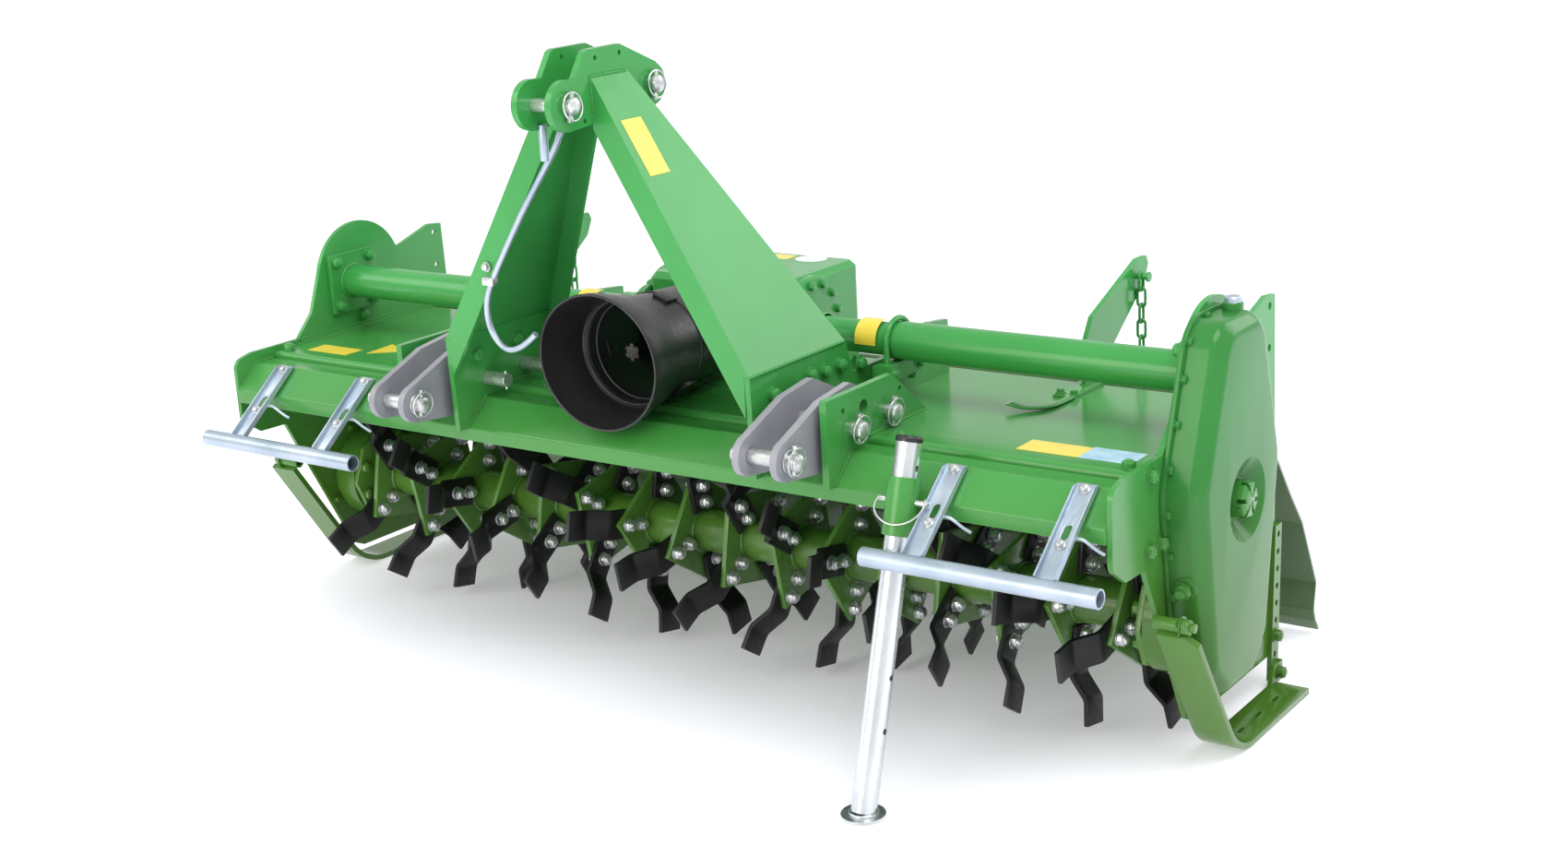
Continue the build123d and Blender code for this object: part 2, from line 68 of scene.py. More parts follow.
def closeEdit():
    bpy.ops.object.mode_set(mode="OBJECT")


def selectAll():
    bpy.ops.mesh.select_all(action="SELECT")


def selectFaces(piece, test):
    shape = bmesh.from_edit_mesh(piece.data)
    for face in shape.faces:
        face.select_set(bool(test(face.calc_center_median(), face.normal)))
    bmesh.update_edit_mesh(piece.data)


def selectVertices(piece, test):
    shape = bmesh.from_edit_mesh(piece.data)
    for vertex in shape.verts:
        vertex.select_set(bool(test(vertex.co)))
    shape.select_flush(True)
    bmesh.update_edit_mesh(piece.data)


def selectEdges(piece, test):
    shape = bmesh.from_edit_mesh(piece.data)
    for edge in shape.edges:
        edge.select_set(bool(test(edge.verts[0].co, edge.verts[1].co)))
    bmesh.update_edit_mesh(piece.data)


def settle(piece):
    pick(piece)
    bpy.ops.object.transform_apply(location=True, rotation=True, scale=True)
    return piece


def smooth(piece, angle=32):
    pick(piece)
    bpy.ops.object.shade_smooth_by_angle(angle=math.radians(angle))
    return piece


def soften(piece, width, segments=2, angle=30):
    pick(piece)
    rounding = piece.modifiers.new("Rounding", "BEVEL")
    rounding.width = width
    rounding.segments = segments
    rounding.limit_method = "ANGLE"
    rounding.angle_limit = math.radians(angle)
    bpy.ops.object.modifier_apply(modifier=rounding.name)
    return smooth(piece)


def joined(pieces):
    bpy.ops.object.select_all(action="DESELECT")
    for piece in pieces:
        piece.select_set(True)
    bpy.context.view_layer.objects.active = pieces[0]
    if len(pieces) > 1:
        bpy.ops.object.join()
    return pieces[0]


def turned(angle, axis="Z"):
    return Matrix.Rotation(math.radians(angle), 4, axis)


def onCircle(radius, angle):
    return radius * math.cos(math.radians(angle)), radius * math.sin(math.radians(angle))


def aim(place, direction, turn=0.0):
    way = Vector(direction).to_track_quat("Z", "Y").to_matrix().to_4x4()
    return Matrix.Translation(Vector(place)) @ way @ turned(turn)


def copiesOf(model, spots):
    made = []
    for spot in spots:
        copy = model.copy()
        copy.data = model.data.copy()
        bpy.context.collection.objects.link(copy)
        copy.data.transform(spot)
        made.append(copy)
    return joined(made)


def discard(piece):
    bpy.data.objects.remove(piece)


def block(low, high):
    middle = [(a + b) / 2 for a, b in zip(low, high)]
    bpy.ops.mesh.primitive_cube_add(size=1, location=middle)
    piece = bpy.context.object
    piece.scale = [b - a for a, b in zip(low, high)]
    return settle(piece)


def rod(place, direction, radius, depth, sides=32):
    bpy.ops.mesh.primitive_cylinder_add(vertices=sides, radius=radius, depth=depth)
    piece = bpy.context.object
    piece.data.transform(aim(place, direction) @ Matrix.Translation((0, 0, depth / 2)))
    return piece


def ring(place, direction, major, minor, around=40, section=12):
    bpy.ops.mesh.primitive_torus_add(
        major_radius=major, minor_radius=minor, major_segments=around, minor_segments=section
    )
    piece = bpy.context.object
    piece.data.transform(aim(place, direction))
    return smooth(piece, 80)


def wire(points, radius, smoothed=True):
    bpy.ops.curve.primitive_nurbs_path_add()
    piece = bpy.context.object
    line = piece.data.splines[0]
    points = list(points) + [points[-1]] * (len(line.points) - len(points))
    line.points.add(len(points) - len(line.points))
    for spot, point in zip(line.points, points):
        spot.co = (*point, 1)
    line.order_u = 3 if smoothed else 2
    line.use_endpoint_u = True
    piece.data.bevel_depth = radius
    piece.data.bevel_resolution = 4
    piece.data.use_fill_caps = True
    bpy.ops.object.convert(target="MESH")
    return smooth(bpy.context.object, 60)


def bore(piece, cutter):
    pick(piece)
    cut = piece.modifiers.new("Bore", "BOOLEAN")
    cut.operation = "DIFFERENCE"
    cut.solver = "EXACT"
    cut.object = cutter
    bpy.ops.object.modifier_apply(modifier=cut.name)
    discard(cutter)
    return piece


def pipe(place, direction, radius, wall, depth, sides=48):
    way = Vector(direction).normalized()
    hole = rod(Vector(place) - way * 0.001, way, radius - wall, depth + 0.002, sides)
    return soften(bore(rod(place, way, radius, depth, sides), hole), 0.0006, 1, 50)


def tracedLine(points):
    bpy.ops.mesh.primitive_plane_add(size=0.001)
    piece = bpy.context.object
    openEdit(piece, "VERT")
    selectAll()
    bpy.ops.mesh.merge(type="CENTER")
    selectAll()
    bpy.ops.transform.translate(value=points[0])
    for start, end in zip(points, points[1:]):
        step = [b - a for a, b in zip(start, end)]
        bpy.ops.mesh.extrude_region_move(TRANSFORM_OT_translate={"value": step})
    selectAll()
    return piece


def lathe(profile, place, direction, steps=48, sweep=360.0, turn=0.0, angle=32):
    piece = tracedLine([(radius, 0, height) for radius, height in profile])
    bpy.ops.mesh.spin(steps=steps, angle=-math.radians(sweep), axis=(0, 0, 1), center=(0, 0, 0))
    selectAll()
    bpy.ops.mesh.remove_doubles(threshold=0.00001)
    bpy.ops.mesh.normals_make_consistent(inside=False)
    closeEdit()
    piece.data.transform(aim(place, direction, turn))
    return smooth(piece, angle)


def roundedPath(corners, steps=9):
    path = []
    for i, (y, z, radius) in enumerate(corners):
        here = Vector((y, z))
        back = (Vector(corners[i - 1][:2]) - here).normalized()
        ahead = (Vector(corners[(i + 1) % len(corners)][:2]) - here).normalized()
        half = back.angle(ahead) / 2
        centre = here + (back + ahead).normalized() * radius / math.sin(half)
        arm = here + back * radius / math.tan(half) - centre
        other = here + ahead * radius / math.tan(half) - centre
        turn = math.copysign(arm.angle(other), arm.x * other.y - arm.y * other.x)
        for k in range(steps + 1):
            t = turn * k / steps
            path.append((centre.x + arm.x * math.cos(t) - arm.y * math.sin(t),
                         centre.y + arm.x * math.sin(t) + arm.y * math.cos(t)))
    return path


def plateFrom(path, x, thick):
    piece = tracedLine([(x, y, z) for y, z in path + path[:1]])
    bpy.ops.mesh.remove_doubles(threshold=0.00001)
    bpy.ops.mesh.edge_face_add()
    bpy.ops.mesh.extrude_region_move(TRANSFORM_OT_translate={"value": (thick, 0, 0)})
    selectAll()
    bpy.ops.mesh.normals_make_consistent(inside=False)
    closeEdit()
    return piece


def spotsAlong(points, spacing, shift=0.0):
    spots, left = [], shift
    for start, end in zip(points, points[1:]):
        run = Vector(end) - Vector(start)
        while left <= run.length:
            spots.append(Vector(start) + run.normalized() * left)
            left += spacing
        left -= run.length
    return spots


def weldLine(points, radius=0.0035):
    bpy.ops.mesh.primitive_ico_sphere_add(subdivisions=1, radius=radius)
    drop = bpy.context.object
    smooth(drop, 180)
    beads = []
    for i, spot in enumerate(spotsAlong(points, radius * 1.35)):
        size = 0.85 + 0.25 * (i % 3) / 2
        beads.append(Matrix.Translation(spot) @ Matrix.Rotation(0.7 * i, 4, "Z") @ Matrix.Scale(size, 4))
    line = copiesOf(drop, beads)
    discard(drop)
    return line


def dress(piece, name, body, slotName, finish, *replaced):
    piece.name = name
    piece.data.name = name
    piece.data.materials.clear()
    piece.data.materials.append(finish)
    if body:
        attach(piece, body)
    if replaced:
        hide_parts(*replaced)
    return piece


# Finishes.
def newFinish(name):
    finish = bpy.data.materials.new(name)
    finish.use_nodes = True
    return finish, finish.node_tree.nodes, finish.node_tree.links


def grain(nodes, links, scale, detail):
    coordinates = nodes.new("ShaderNodeTexCoord")
    texture = nodes.new("ShaderNodeTexNoise")
    texture.inputs["Scale"].default_value = scale
    texture.inputs["Detail"].default_value = detail
    links.new(coordinates.outputs["Object"], texture.inputs["Vector"])
    return texture.outputs["Fac"]


def blendColours(nodes, links, factor, dark, light):
    ramp = nodes.new("ShaderNodeValToRGB")
    for element, position, colour in zip(ramp.color_ramp.elements, (0.35, 0.65), (dark, light)):
        element.position = position
        element.color = (*colour, 1)
    links.new(factor, ramp.inputs["Fac"])
    return ramp.outputs["Color"]


def spread(nodes, links, source, fromRange, toRange, eased=False):
    between = nodes.new("ShaderNodeMapRange")
    if eased:
        between.interpolation_type = "SMOOTHSTEP"
    for socketName, value in zip(("From Min", "From Max", "To Min", "To Max"), (*fromRange, *toRange)):
        between.inputs[socketName].default_value = value
    links.new(source, between.inputs["Value"])
    return between.outputs["Result"]


def mixed(nodes, links, factor, first, second):
    mix = nodes.new("ShaderNodeMix")
    mix.data_type = "RGBA"
    links.new(factor, mix.inputs["Factor"])
    for socketName, colour in (("A", first), ("B", second)):
        if isinstance(colour, tuple):
            mix.inputs[socketName].default_value = (*colour, 1)
        else:
            links.new(colour, mix.inputs[socketName])
    return mix.outputs["Result"]


def rough(nodes, links, shader, factor, depth, strength):
    relief = nodes.new("ShaderNodeBump")
    relief.inputs["Distance"].default_value = depth
    relief.inputs["Strength"].default_value = strength
    links.new(factor, relief.inputs["Height"])
    links.new(relief.outputs["Normal"], shader.inputs["Normal"])


def coatedFinish(name, look):
    finish, nodes, links = newFinish(name)
    shader = nodes["Principled BSDF"]
    patchScale, fineScale = look["scales"]
    patch = grain(nodes, links, patchScale, 5.0)
    colour = blendColours(nodes, links, patch, look["dark"], look["light"])
    # Painted shade: by height, the colour turns towards the darker, more olive shade colour low down.
    if "shade" in look:
        place = nodes.new("ShaderNodeTexCoord")
        parts = nodes.new("ShaderNodeSeparateXYZ")
        links.new(place.outputs["Object"], parts.inputs["Vector"])
        height = spread(nodes, links, parts.outputs["Z"], look["shadeHeights"], (0.0, 1.0), True)
        colour = mixed(nodes, links, height, look["shade"], colour)
    if "worn" in look:
        geometry = nodes.new("ShaderNodeNewGeometry")
        edges = spread(nodes, links, geometry.outputs["Pointiness"], (0.54, 0.66), (0.0, look["wornShare"]))
        colour = mixed(nodes, links, edges, colour, look["worn"])
    links.new(colour, shader.inputs["Base Color"])
    fine = grain(nodes, links, fineScale, 3.0)
    links.new(spread(nodes, links, fine, (0.3, 0.7), look["roughness"]), shader.inputs["Roughness"])
    shader.inputs["Metallic"].default_value = look.get("metallic", 0.0)
    shader.inputs["Coat Weight"].default_value = look.get("coat", 0.0)
    shader.inputs["Coat Roughness"].default_value = 0.12
    shader.inputs["Specular IOR Level"].default_value = look.get("specular", 0.5)
    rough(nodes, links, shader, fine, look["depth"], look.get("relief", 0.3))
    return finish


# Body green, with painted shade: darker and more olive towards the bottom.
greenPaint = coatedFinish("greenPaint", {
    "scales": (2.2, 42.0), "dark": (0.036, 0.275, 0.056), "light": (0.050, 0.330, 0.076),
    "roughness": (0.17, 0.25), "coat": 0.14, "depth": 0.0010, "relief": 0.030, "specular": 0.38,
    "shade": (0.062, 0.165, 0.018), "shadeHeights": (0.18, 0.78),
})
# Rotor green: a darker, more olive copy of the body green, painted shade for the rotor low under the machine.
shadedGreen = coatedFinish("rotorGreen", {
    "scales": (6.0, 60.0), "dark": (0.058, 0.150, 0.016), "light": (0.085, 0.215, 0.024),
    "roughness": (0.26, 0.40), "coat": 0.3, "depth": 0.0010, "relief": 0.06,
    "worn": (0.16, 0.40, 0.14), "wornShare": 0.4,
})
# Gear case green: darker than the body green, painted shade against the light the case catches; also darker
# towards the bottom.
caseGreen = coatedFinish("caseGreen", {
    "scales": (2.6, 42.0), "dark": (0.028, 0.176, 0.034), "light": (0.036, 0.214, 0.044),
    "roughness": (0.16, 0.24), "coat": 0.05, "depth": 0.0010, "relief": 0.030, "specular": 0.24,
    "shade": (0.046, 0.152, 0.020), "shadeHeights": (0.15, 0.65),
})
# Rear board green: a much darker copy of the body green, painted shade for the board in the machine's shade.
boardGreen = coatedFinish("boardGreen", {
    "scales": (3.0, 50.0), "dark": (0.030, 0.088, 0.013), "light": (0.042, 0.120, 0.020),
    "roughness": (0.20, 0.30), "coat": 0.4, "depth": 0.0010, "relief": 0.04,
})
greyPaint = coatedFinish("greyPaint", {
    "scales": (8.0, 90.0), "dark": (0.235, 0.235, 0.265), "light": (0.290, 0.290, 0.325),
    "roughness": (0.34, 0.46), "coat": 0.1, "depth": 0.0008, "relief": 0.06,
    "worn": (0.55, 0.54, 0.60), "wornShare": 0.5,
})
zincCoat = coatedFinish("zincCoat", {
    "scales": (9.0, 70.0), "dark": (0.34, 0.42, 0.50), "light": (0.48, 0.56, 0.64),
    "roughness": (0.28, 0.42), "metallic": 0.7, "depth": 0.0006, "relief": 0.06,
})
brightSteel = coatedFinish("brightSteel", {
    "scales": (30.0, 120.0), "dark": (0.50, 0.52, 0.52), "light": (0.70, 0.72, 0.72),
    "roughness": (0.26, 0.38), "metallic": 0.85, "depth": 0.0004, "relief": 0.05,
})
standSteel = coatedFinish("standSteel", {
    "scales": (7.0, 90.0), "dark": (0.60, 0.64, 0.66), "light": (0.78, 0.81, 0.83),
    "roughness": (0.24, 0.30), "metallic": 0.9, "depth": 0.0003, "relief": 0.02,
})
# Input shaft: near-black steel, painted shade for the shaft deep inside the shield.
shaftSteel = coatedFinish("shaftSteel", {
    "scales": (25.0, 140.0), "dark": (0.030, 0.028, 0.026), "light": (0.070, 0.066, 0.060),
    "roughness": (0.30, 0.45), "metallic": 0.8, "depth": 0.0005, "relief": 0.1,
})
bladeBlack = coatedFinish("bladeBlack", {
    "scales": (18.0, 80.0), "dark": (0.003, 0.003, 0.0035), "light": (0.009, 0.0085, 0.009),
    "roughness": (0.34, 0.50), "depth": 0.0010, "relief": 0.12, "specular": 0.3,
    "worn": (0.12, 0.12, 0.125), "wornShare": 0.7,
})
blackPlastic = coatedFinish("blackPlastic", {
    "scales": (8.0, 110.0), "dark": (0.012, 0.012, 0.013), "light": (0.020, 0.020, 0.022),
    "roughness": (0.28, 0.40), "depth": 0.0006, "relief": 0.08,
})
labelLook = {
    "scales": (20.0, 200.0), "roughness": (0.28, 0.36), "coat": 0.3, "depth": 0.0002, "relief": 0.05,
}
labelYellow = coatedFinish("labelYellow", {
    **labelLook, "dark": (0.78, 0.60, 0.05), "light": (0.84, 0.66, 0.08),
})
labelBlue = coatedFinish("labelBlue", {
    **labelLook, "scales": (40.0, 200.0), "dark": (0.30, 0.50, 0.68), "light": (0.46, 0.66, 0.80),
})
labelPale = coatedFinish("labelPale", {
    **labelLook, "dark": (0.70, 0.74, 0.78), "light": (0.78, 0.82, 0.86),
})
print("finishes made")

finishBySlot = {
    "green_paint": greenPaint, "grey_paint": greyPaint, "zinc": zincCoat,
    "steel": brightSteel, "black_plastic": blackPlastic,
}
slotByNode = {part["node"]: part["material_slot"] for part in frame["record"]["subparts"]}
for nodeName, node in cadNodes.items():
    node.data.materials.clear()
    node.data.materials.append(finishBySlot[slotByNode[nodeName]])


# Folded and cut plates: the same solid with its cut edges eased.
def cleanCopy(nodeName):
    node = cadNodes[nodeName]
    piece = node.copy()
    piece.data = node.data.copy()
    bpy.context.collection.objects.link(piece)
    for key in list(piece.keys()):
        del piece[key]
    piece.parent = None
    openEdit(piece)
    selectAll()
    bpy.ops.mesh.customdata_custom_splitnormals_clear()
    bpy.ops.mesh.remove_doubles(threshold=0.00002)
    bpy.ops.mesh.dissolve_limited(angle_limit=math.radians(0.6))
    closeEdit()
    return piece


def easedCopy(nodeName, width):
    piece = soften(cleanCopy(nodeName), width)
    weighting = piece.modifiers.new("Weighting", "WEIGHTED_NORMAL")
    weighting.keep_sharp = True
    bpy.ops.object.modifier_apply(modifier=weighting.name)
    return piece


plateEase = {
    "side_plate_left": 0.0022, "side_plate_right": 0.0022, "front_beam": 0.0045, "deck": 0.0010,
    "centre_plate_left": 0.002, "centre_plate_right": 0.002,
    "outer_plate_left": 0.0022, "outer_plate_right": 0.0022,
    "clevis_left": 0.003, "clevis_right": 0.003,
    "head_plate_left": 0.0025, "head_plate_right": 0.0025,
    "mast_leg_left": 0.0035, "mast_leg_right": 0.0035,
    "tube_clamp_left": 0.002, "tube_clamp_right": 0.002,
    "chain_arm_left": 0.0018, "chain_arm_right": 0.0018,
    "skid_left": 0.0018, "skid_strap_left": 0.0015, "skid_strap_right": 0.0015,
    "clevis_pins_left": 0.002, "clevis_pins_right": 0.002,
    "cross_tube_left": 0.0018, "cross_tube_right": 0.0018,
    "bearing_left": 0.003, "bearing_right": 0.003, "stand_sleeve": 0.0015,
}
for nodeName, width in plateEase.items():
    words = nodeName.split("_")
    pieceName = words[0] + "".join(word.capitalize() for word in words[1:])
    slotName = slotByNode[nodeName]
    dress(easedCopy(nodeName, width), pieceName, "frame", slotName, finishBySlot[slotName], nodeName)
dress(easedCopy("rear_board", 0.0012), "rearBoard", "board", "green_paint", boardGreen, "rear_board")
print("plates eased:", len(plateEase))


# Bolts, modelled once at the origin with their axis up.
def hexBolt(across, head, washer=0.0, stub=0.0):
    bpy.ops.mesh.primitive_cylinder_add(vertices=6, radius=across / math.sqrt(3), depth=head)
    bolt = bpy.context.object
    sheet = 0.0022 if washer else 0.0
    bolt.data.transform(Matrix.Translation((0, 0, sheet + head / 2)))
    openEdit(bolt)
    selectFaces(bolt, lambda centre, normal: normal.z > 0.9)
    bpy.ops.mesh.inset(thickness=across * 0.09)
    bpy.ops.transform.translate(value=(0, 0, across * 0.05))
    closeEdit()
    soften(bolt, across * 0.02, 1, 40)
    parts = [bolt]
    if washer:
        parts.append(soften(rod((0, 0, 0), (0, 0, 1), washer, sheet, 24), 0.0005, 1))
    if stub:
        parts.append(soften(rod((0, 0, sheet + head), (0, 0, 1), across * 0.33, stub, 16), 0.0012, 2))
    return joined(parts)


def domedNut(across, head):
    nut = hexBolt(across, head, across * 0.62)
    high = 0.0022 + head
    dome = lathe([(across * 0.45, high), (across * 0.43, high + 0.003), (across * 0.3, high + 0.0062),
                  (0.0, high + 0.0075)], (0, 0, 0), (0, 0, 1), 16)
    return joined([nut, dome])


smallBolt = hexBolt(0.013, 0.006, 0.0100)
rimBolt = hexBolt(0.014, 0.0065, 0.0095)
plateBolt = hexBolt(0.021, 0.0095, 0.0145, 0.003)
bigBolt = hexBolt(0.026, 0.013, 0.018, 0.010)
bladeNut = domedNut(0.024, 0.011)
boltHead = hexBolt(0.024, 0.009)


def boltsAt(model, spots, direction, turn=0):
    return copiesOf(model, [aim(spot, direction, turn + 13 * i) for i, spot in enumerate(spots)])


# Rotor: tube with a weld at each square flange, and offset blades held by two nuts each.
rotorSizes = {
    "axisZ": 0.24, "tubeRadius": 0.045, "reach": 0.985, "count": 16, "first": -0.93, "pitch": 0.124,
    "side": 0.186, "sheet": 0.011, "start": -11.25, "turn": 22.5, "weld": 0.0045,
    "endRadius": 0.106, "endSheet": 0.012, "endBolts": 0.084,
}
bladeSizes = {
    "width": 0.062, "sheet": 0.009, "inner": 0.05, "straight": 0.1338, "bend": 40.8, "bendRadius": 0.0175,
    "slope": 0.0377, "backBend": 34.95, "leg": 0.0413, "bolts": (0.066, 0.104),
}
axisPoint = Vector((0, 0, rotorSizes["axisZ"]))
tube = rod((-rotorSizes["reach"], 0, rotorSizes["axisZ"]), (1, 0, 0), rotorSizes["tubeRadius"],
           2 * rotorSizes["reach"], 64)
openEdit(tube)
selectFaces(tube, lambda centre, normal: abs(normal.x) > 0.9)
bpy.ops.mesh.inset(thickness=0.008)
closeEdit()
soften(tube, 0.002, 2, 50)
flangePlaces = [rotorSizes["first"] + i * rotorSizes["pitch"] for i in range(rotorSizes["count"])]
flangeTurns = [rotorSizes["start"] + i * rotorSizes["turn"] for i in range(rotorSizes["count"])]
half = rotorSizes["side"] / 2
flangeModel = soften(block((0, -half, -half), (rotorSizes["sheet"], half, half)), 0.0015, 2)
flanges = copiesOf(flangeModel, [
    Matrix.Translation((x, 0, rotorSizes["axisZ"])) @ turned(turn, "X")
    for x, turn in zip(flangePlaces, flangeTurns)
])
weldModel = ring((0, 0, 0), (1, 0, 0), rotorSizes["tubeRadius"] + 0.001, rotorSizes["weld"], 48, 8)
welds = copiesOf(weldModel, [
    Matrix.Translation((x + side, 0, rotorSizes["axisZ"]))
    for x in flangePlaces for side in (0, rotorSizes["sheet"])
])
discard(flangeModel)
discard(weldModel)


def bladeShape():
    width, sheet, radius = bladeSizes["width"], bladeSizes["sheet"], bladeSizes["bendRadius"]
    blade = block((0, -width / 2, bladeSizes["inner"]), (sheet, width / 2, bladeSizes["straight"]))
    openEdit(blade)
    selectFaces(blade, lambda centre, normal: normal.z > 0.9)
    bend, backBend = math.radians(bladeSizes["bend"]), math.radians(bladeSizes["backBend"])
    centre = Vector((sheet + radius, 0, bladeSizes["straight"]))
    bpy.ops.mesh.spin(steps=5, angle=-bend, axis=(0, 1, 0), center=centre)
    way = Vector((math.sin(bend), 0, math.cos(bend)))
    bpy.ops.mesh.extrude_region_move(TRANSFORM_OT_translate={"value": way * bladeSizes["slope"]})
    # The second bend turns back, about a centre on the other side of the sheet.
    inward = Vector((math.cos(bend), 0, -math.sin(bend)))
    centre += way * bladeSizes["slope"] - inward * (2 * radius + sheet)
    bpy.ops.mesh.spin(steps=5, angle=backBend, axis=(0, 1, 0), center=centre)
    way = Vector((math.sin(bend - backBend), 0, math.cos(bend - backBend)))
    bpy.ops.mesh.extrude_region_move(TRANSFORM_OT_translate={"value": way * bladeSizes["leg"]})
    closeEdit()
    return soften(blade, 0.0012, 2, 40)


bladeModel = bladeShape()
bladeSpots, nutSpots, headSpots = [], [], []
for x, turn in zip(flangePlaces, flangeTurns):
    for corner in range(4):
        out = Vector((0, *onCircle(1, turn + 45 + 90 * corner)))
        side = 1 if corner % 2 else -1
        faceX = x + rotorSizes["sheet"] if side > 0 else x
        across = Vector((side, 0, 0))
        spot = Matrix((across, out.cross(across), out)).transposed().to_4x4()
        bladeSpots.append(Matrix.Translation(axisPoint + Vector((faceX, 0, 0))) @ spot)
        for reach in bladeSizes["bolts"]:
            centre = axisPoint + out * reach
            nutX = x + rotorSizes["sheet"] + (bladeSizes["sheet"] if side > 0 else 0)
            headX = x - (bladeSizes["sheet"] if side < 0 else 0)
            nutSpots.append(aim(centre + Vector((nutX, 0, 0)), (1, 0, 0), 17 * corner))
            headSpots.append(aim(centre + Vector((headX, 0, 0)), (-1, 0, 0), 11 * corner))
blades = copiesOf(bladeModel, bladeSpots)
bladeNuts = copiesOf(bladeNut, nutSpots)
bladeHeads = copiesOf(boltHead, headSpots)
for model in (bladeModel, bladeNut, boltHead):
    discard(model)
print("blade reach:", max((v.co - axisPoint).yz.length for v in blades.data.vertices))

ends, endSpots = [], []
for side in (-1, 1):
    start = side * rotorSizes["reach"]
    plate = rod((start, 0, rotorSizes["axisZ"]), (-side, 0, 0), rotorSizes["endRadius"],
                rotorSizes["endSheet"], 8)
    ends.append(soften(plate, 0.0015, 2))
    for step in range(8):
        y, z = onCircle(rotorSizes["endBolts"], 22.5 + 45 * step)
        spot = axisPoint + Vector((start - side * rotorSizes["endSheet"], y, z))
        endSpots.append(aim(spot, (-side, 0, 0)))
endBolts = copiesOf(plateBolt, endSpots)
dress(joined([tube, flanges, welds, *ends, endBolts]), "rotorBody", "rotor", "green_paint",
      shadedGreen, "rotor")
dress(blades, "rotorBlades", "rotor", "steel", bladeBlack)
dress(joined([bladeNuts, bladeHeads]), "bladeNuts", "rotor", "steel", brightSteel)
print("rotor built")

# Gear case: rolled dome edge, cone-shaped recess with the slotted nut, rim bolts, plugs.
caseSizes = {
    "wall": 1.055, "rim": 0.009, "face": 1.131, "dish": (0.015, 0.469), "dishWide": 0.076,
    "dishFloor": 0.045, "dishDeep": 0.0265, "fold": 0.021, "round": 0.0075, "nut": 0.062, "nutHigh": 0.030,
    "slot": 0.008, "slotDeep": 0.012, "shaft": 0.019, "boltSpacing": 0.077,
    "middle": (0.005, 0.46), "shoulder": 0.60, "foot": 0.15,
}
caseCorners = [
    (-0.070, 0.790, 0.066), (0.090, 0.790, 0.066), (0.168, 0.520, 0.120), (0.118, 0.190, 0.060),
    (0.055, 0.128, 0.045), (-0.060, 0.128, 0.045), (-0.122, 0.190, 0.060), (-0.168, 0.520, 0.120),
]


def casePath(grow):
    # Every corner moves sideways, and those above the shoulder or below the foot also up or down.
    middleY, middleZ = caseSizes["middle"]
    moved = []
    for y, z, radius in caseCorners:
        rise = grow if z > caseSizes["shoulder"] or z < caseSizes["foot"] else 0.0
        aside = math.copysign(grow, y - middleY)
        moved.append((y + aside, z + math.copysign(rise, z - middleZ), radius + grow))
    return roundedPath(moved)


rimPlate = soften(plateFrom(casePath(0.012), caseSizes["wall"], caseSizes["rim"]), 0.0015, 2, 50)
domeBack = caseSizes["wall"] + 0.002
dome = plateFrom(casePath(-0.004), domeBack, caseSizes["face"] - domeBack)
nearFace = caseSizes["face"] - caseSizes["fold"] - 0.0005
for width, segments in ((caseSizes["fold"], 1), (caseSizes["round"], 4)):
    openEdit(dome, "EDGE")
    selectEdges(dome, lambda a, b: min(a.x, b.x) > nearFace and abs(a.x - b.x) < 0.00001)
    bpy.ops.mesh.bevel(offset=width, segments=segments)
    closeEdit()
dishY, dishZ = caseSizes["dish"]
dishFloorX = caseSizes["face"] - caseSizes["dishDeep"]
cutDeep = caseSizes["dishDeep"] + 0.001
bpy.ops.mesh.primitive_cone_add(
    vertices=72, radius1=caseSizes["dishFloor"], radius2=caseSizes["dishWide"], depth=cutDeep
)
cutter = bpy.context.object
cutter.data.transform(aim((dishFloorX, dishY, dishZ), (1, 0, 0)) @ Matrix.Translation((0, 0, cutDeep / 2)))
gearCase = smooth(bore(dome, cutter), 30)
rimWay = [(caseSizes["wall"] + caseSizes["rim"], y, z) for y, z in casePath(0.0045)]
rimBolts = boltsAt(rimBolt, spotsAlong(rimWay + rimWay[:1], caseSizes["boltSpacing"], 0.02), (1, 0, 0))
# A boss and cap on top for filling, and the level plug in the front wall.
capBoss = joined([
    hexBolt(0.032, 0.018), soften(rod((0, 0, -0.006), (0, 0, 1), 0.019, 0.008, 32), 0.0015, 2),
])
capBoss.data.transform(Matrix.Translation((1.088, 0.045, 0.789)))
plugWay = Vector((0, -0.990, -0.138))
plugSpot = Vector((1.091, -0.1415, 0.354))
plug = joined([
    lathe([(0.0, 0.012), (0.016, 0.012), (0.021, 0.009), (0.024, -0.004)], plugSpot, plugWay, 32),
    copiesOf(bigBolt, [aim(plugSpot + plugWay * 0.011, plugWay, 10)]),
])
dress(joined([gearCase, rimPlate, rimBolts, capBoss, plug]), "gearCase", "frame", "green_paint", caseGreen,
      "gear_case")
fillCap = lathe([(0.0145, 0.0), (0.0145, 0.008), (0.012, 0.0105), (0.0, 0.0115)], (1.088, 0.045, 0.808),
                (0, 0, 1), 32)
dress(fillCap, "fillCap", "frame", "zinc", zincCoat)

nut = hexBolt(caseSizes["nut"], caseSizes["nutHigh"])
for step in range(3):
    slot = block((-0.05, -caseSizes["slot"] / 2, caseSizes["nutHigh"] - caseSizes["slotDeep"]),
                 (0.05, caseSizes["slot"] / 2, caseSizes["nutHigh"] + 0.01))
    slot.data.transform(turned(30 + 60 * step))
    bore(nut, slot)
shaftEnd = soften(rod((0, 0, 0), (0, 0, 1), caseSizes["shaft"], caseSizes["nutHigh"] + 0.002, 32), 0.002, 2)
splitPin = wire([(-0.036, 0.001, 0.024), (-0.030, 0.0, 0.024), (0.034, 0.0, 0.024), (0.037, 0.006, 0.020),
                 (0.036, 0.013, 0.014)], 0.0025)
caseNut = joined([nut, shaftEnd, splitPin])
caseNut.data.transform(aim((dishFloorX, dishY, dishZ), (1, 0, 0), 20))
dress(caseNut, "caseNut", "frame", slotByNode["case_nut"], greenPaint, "case_nut")
print("gear case built")

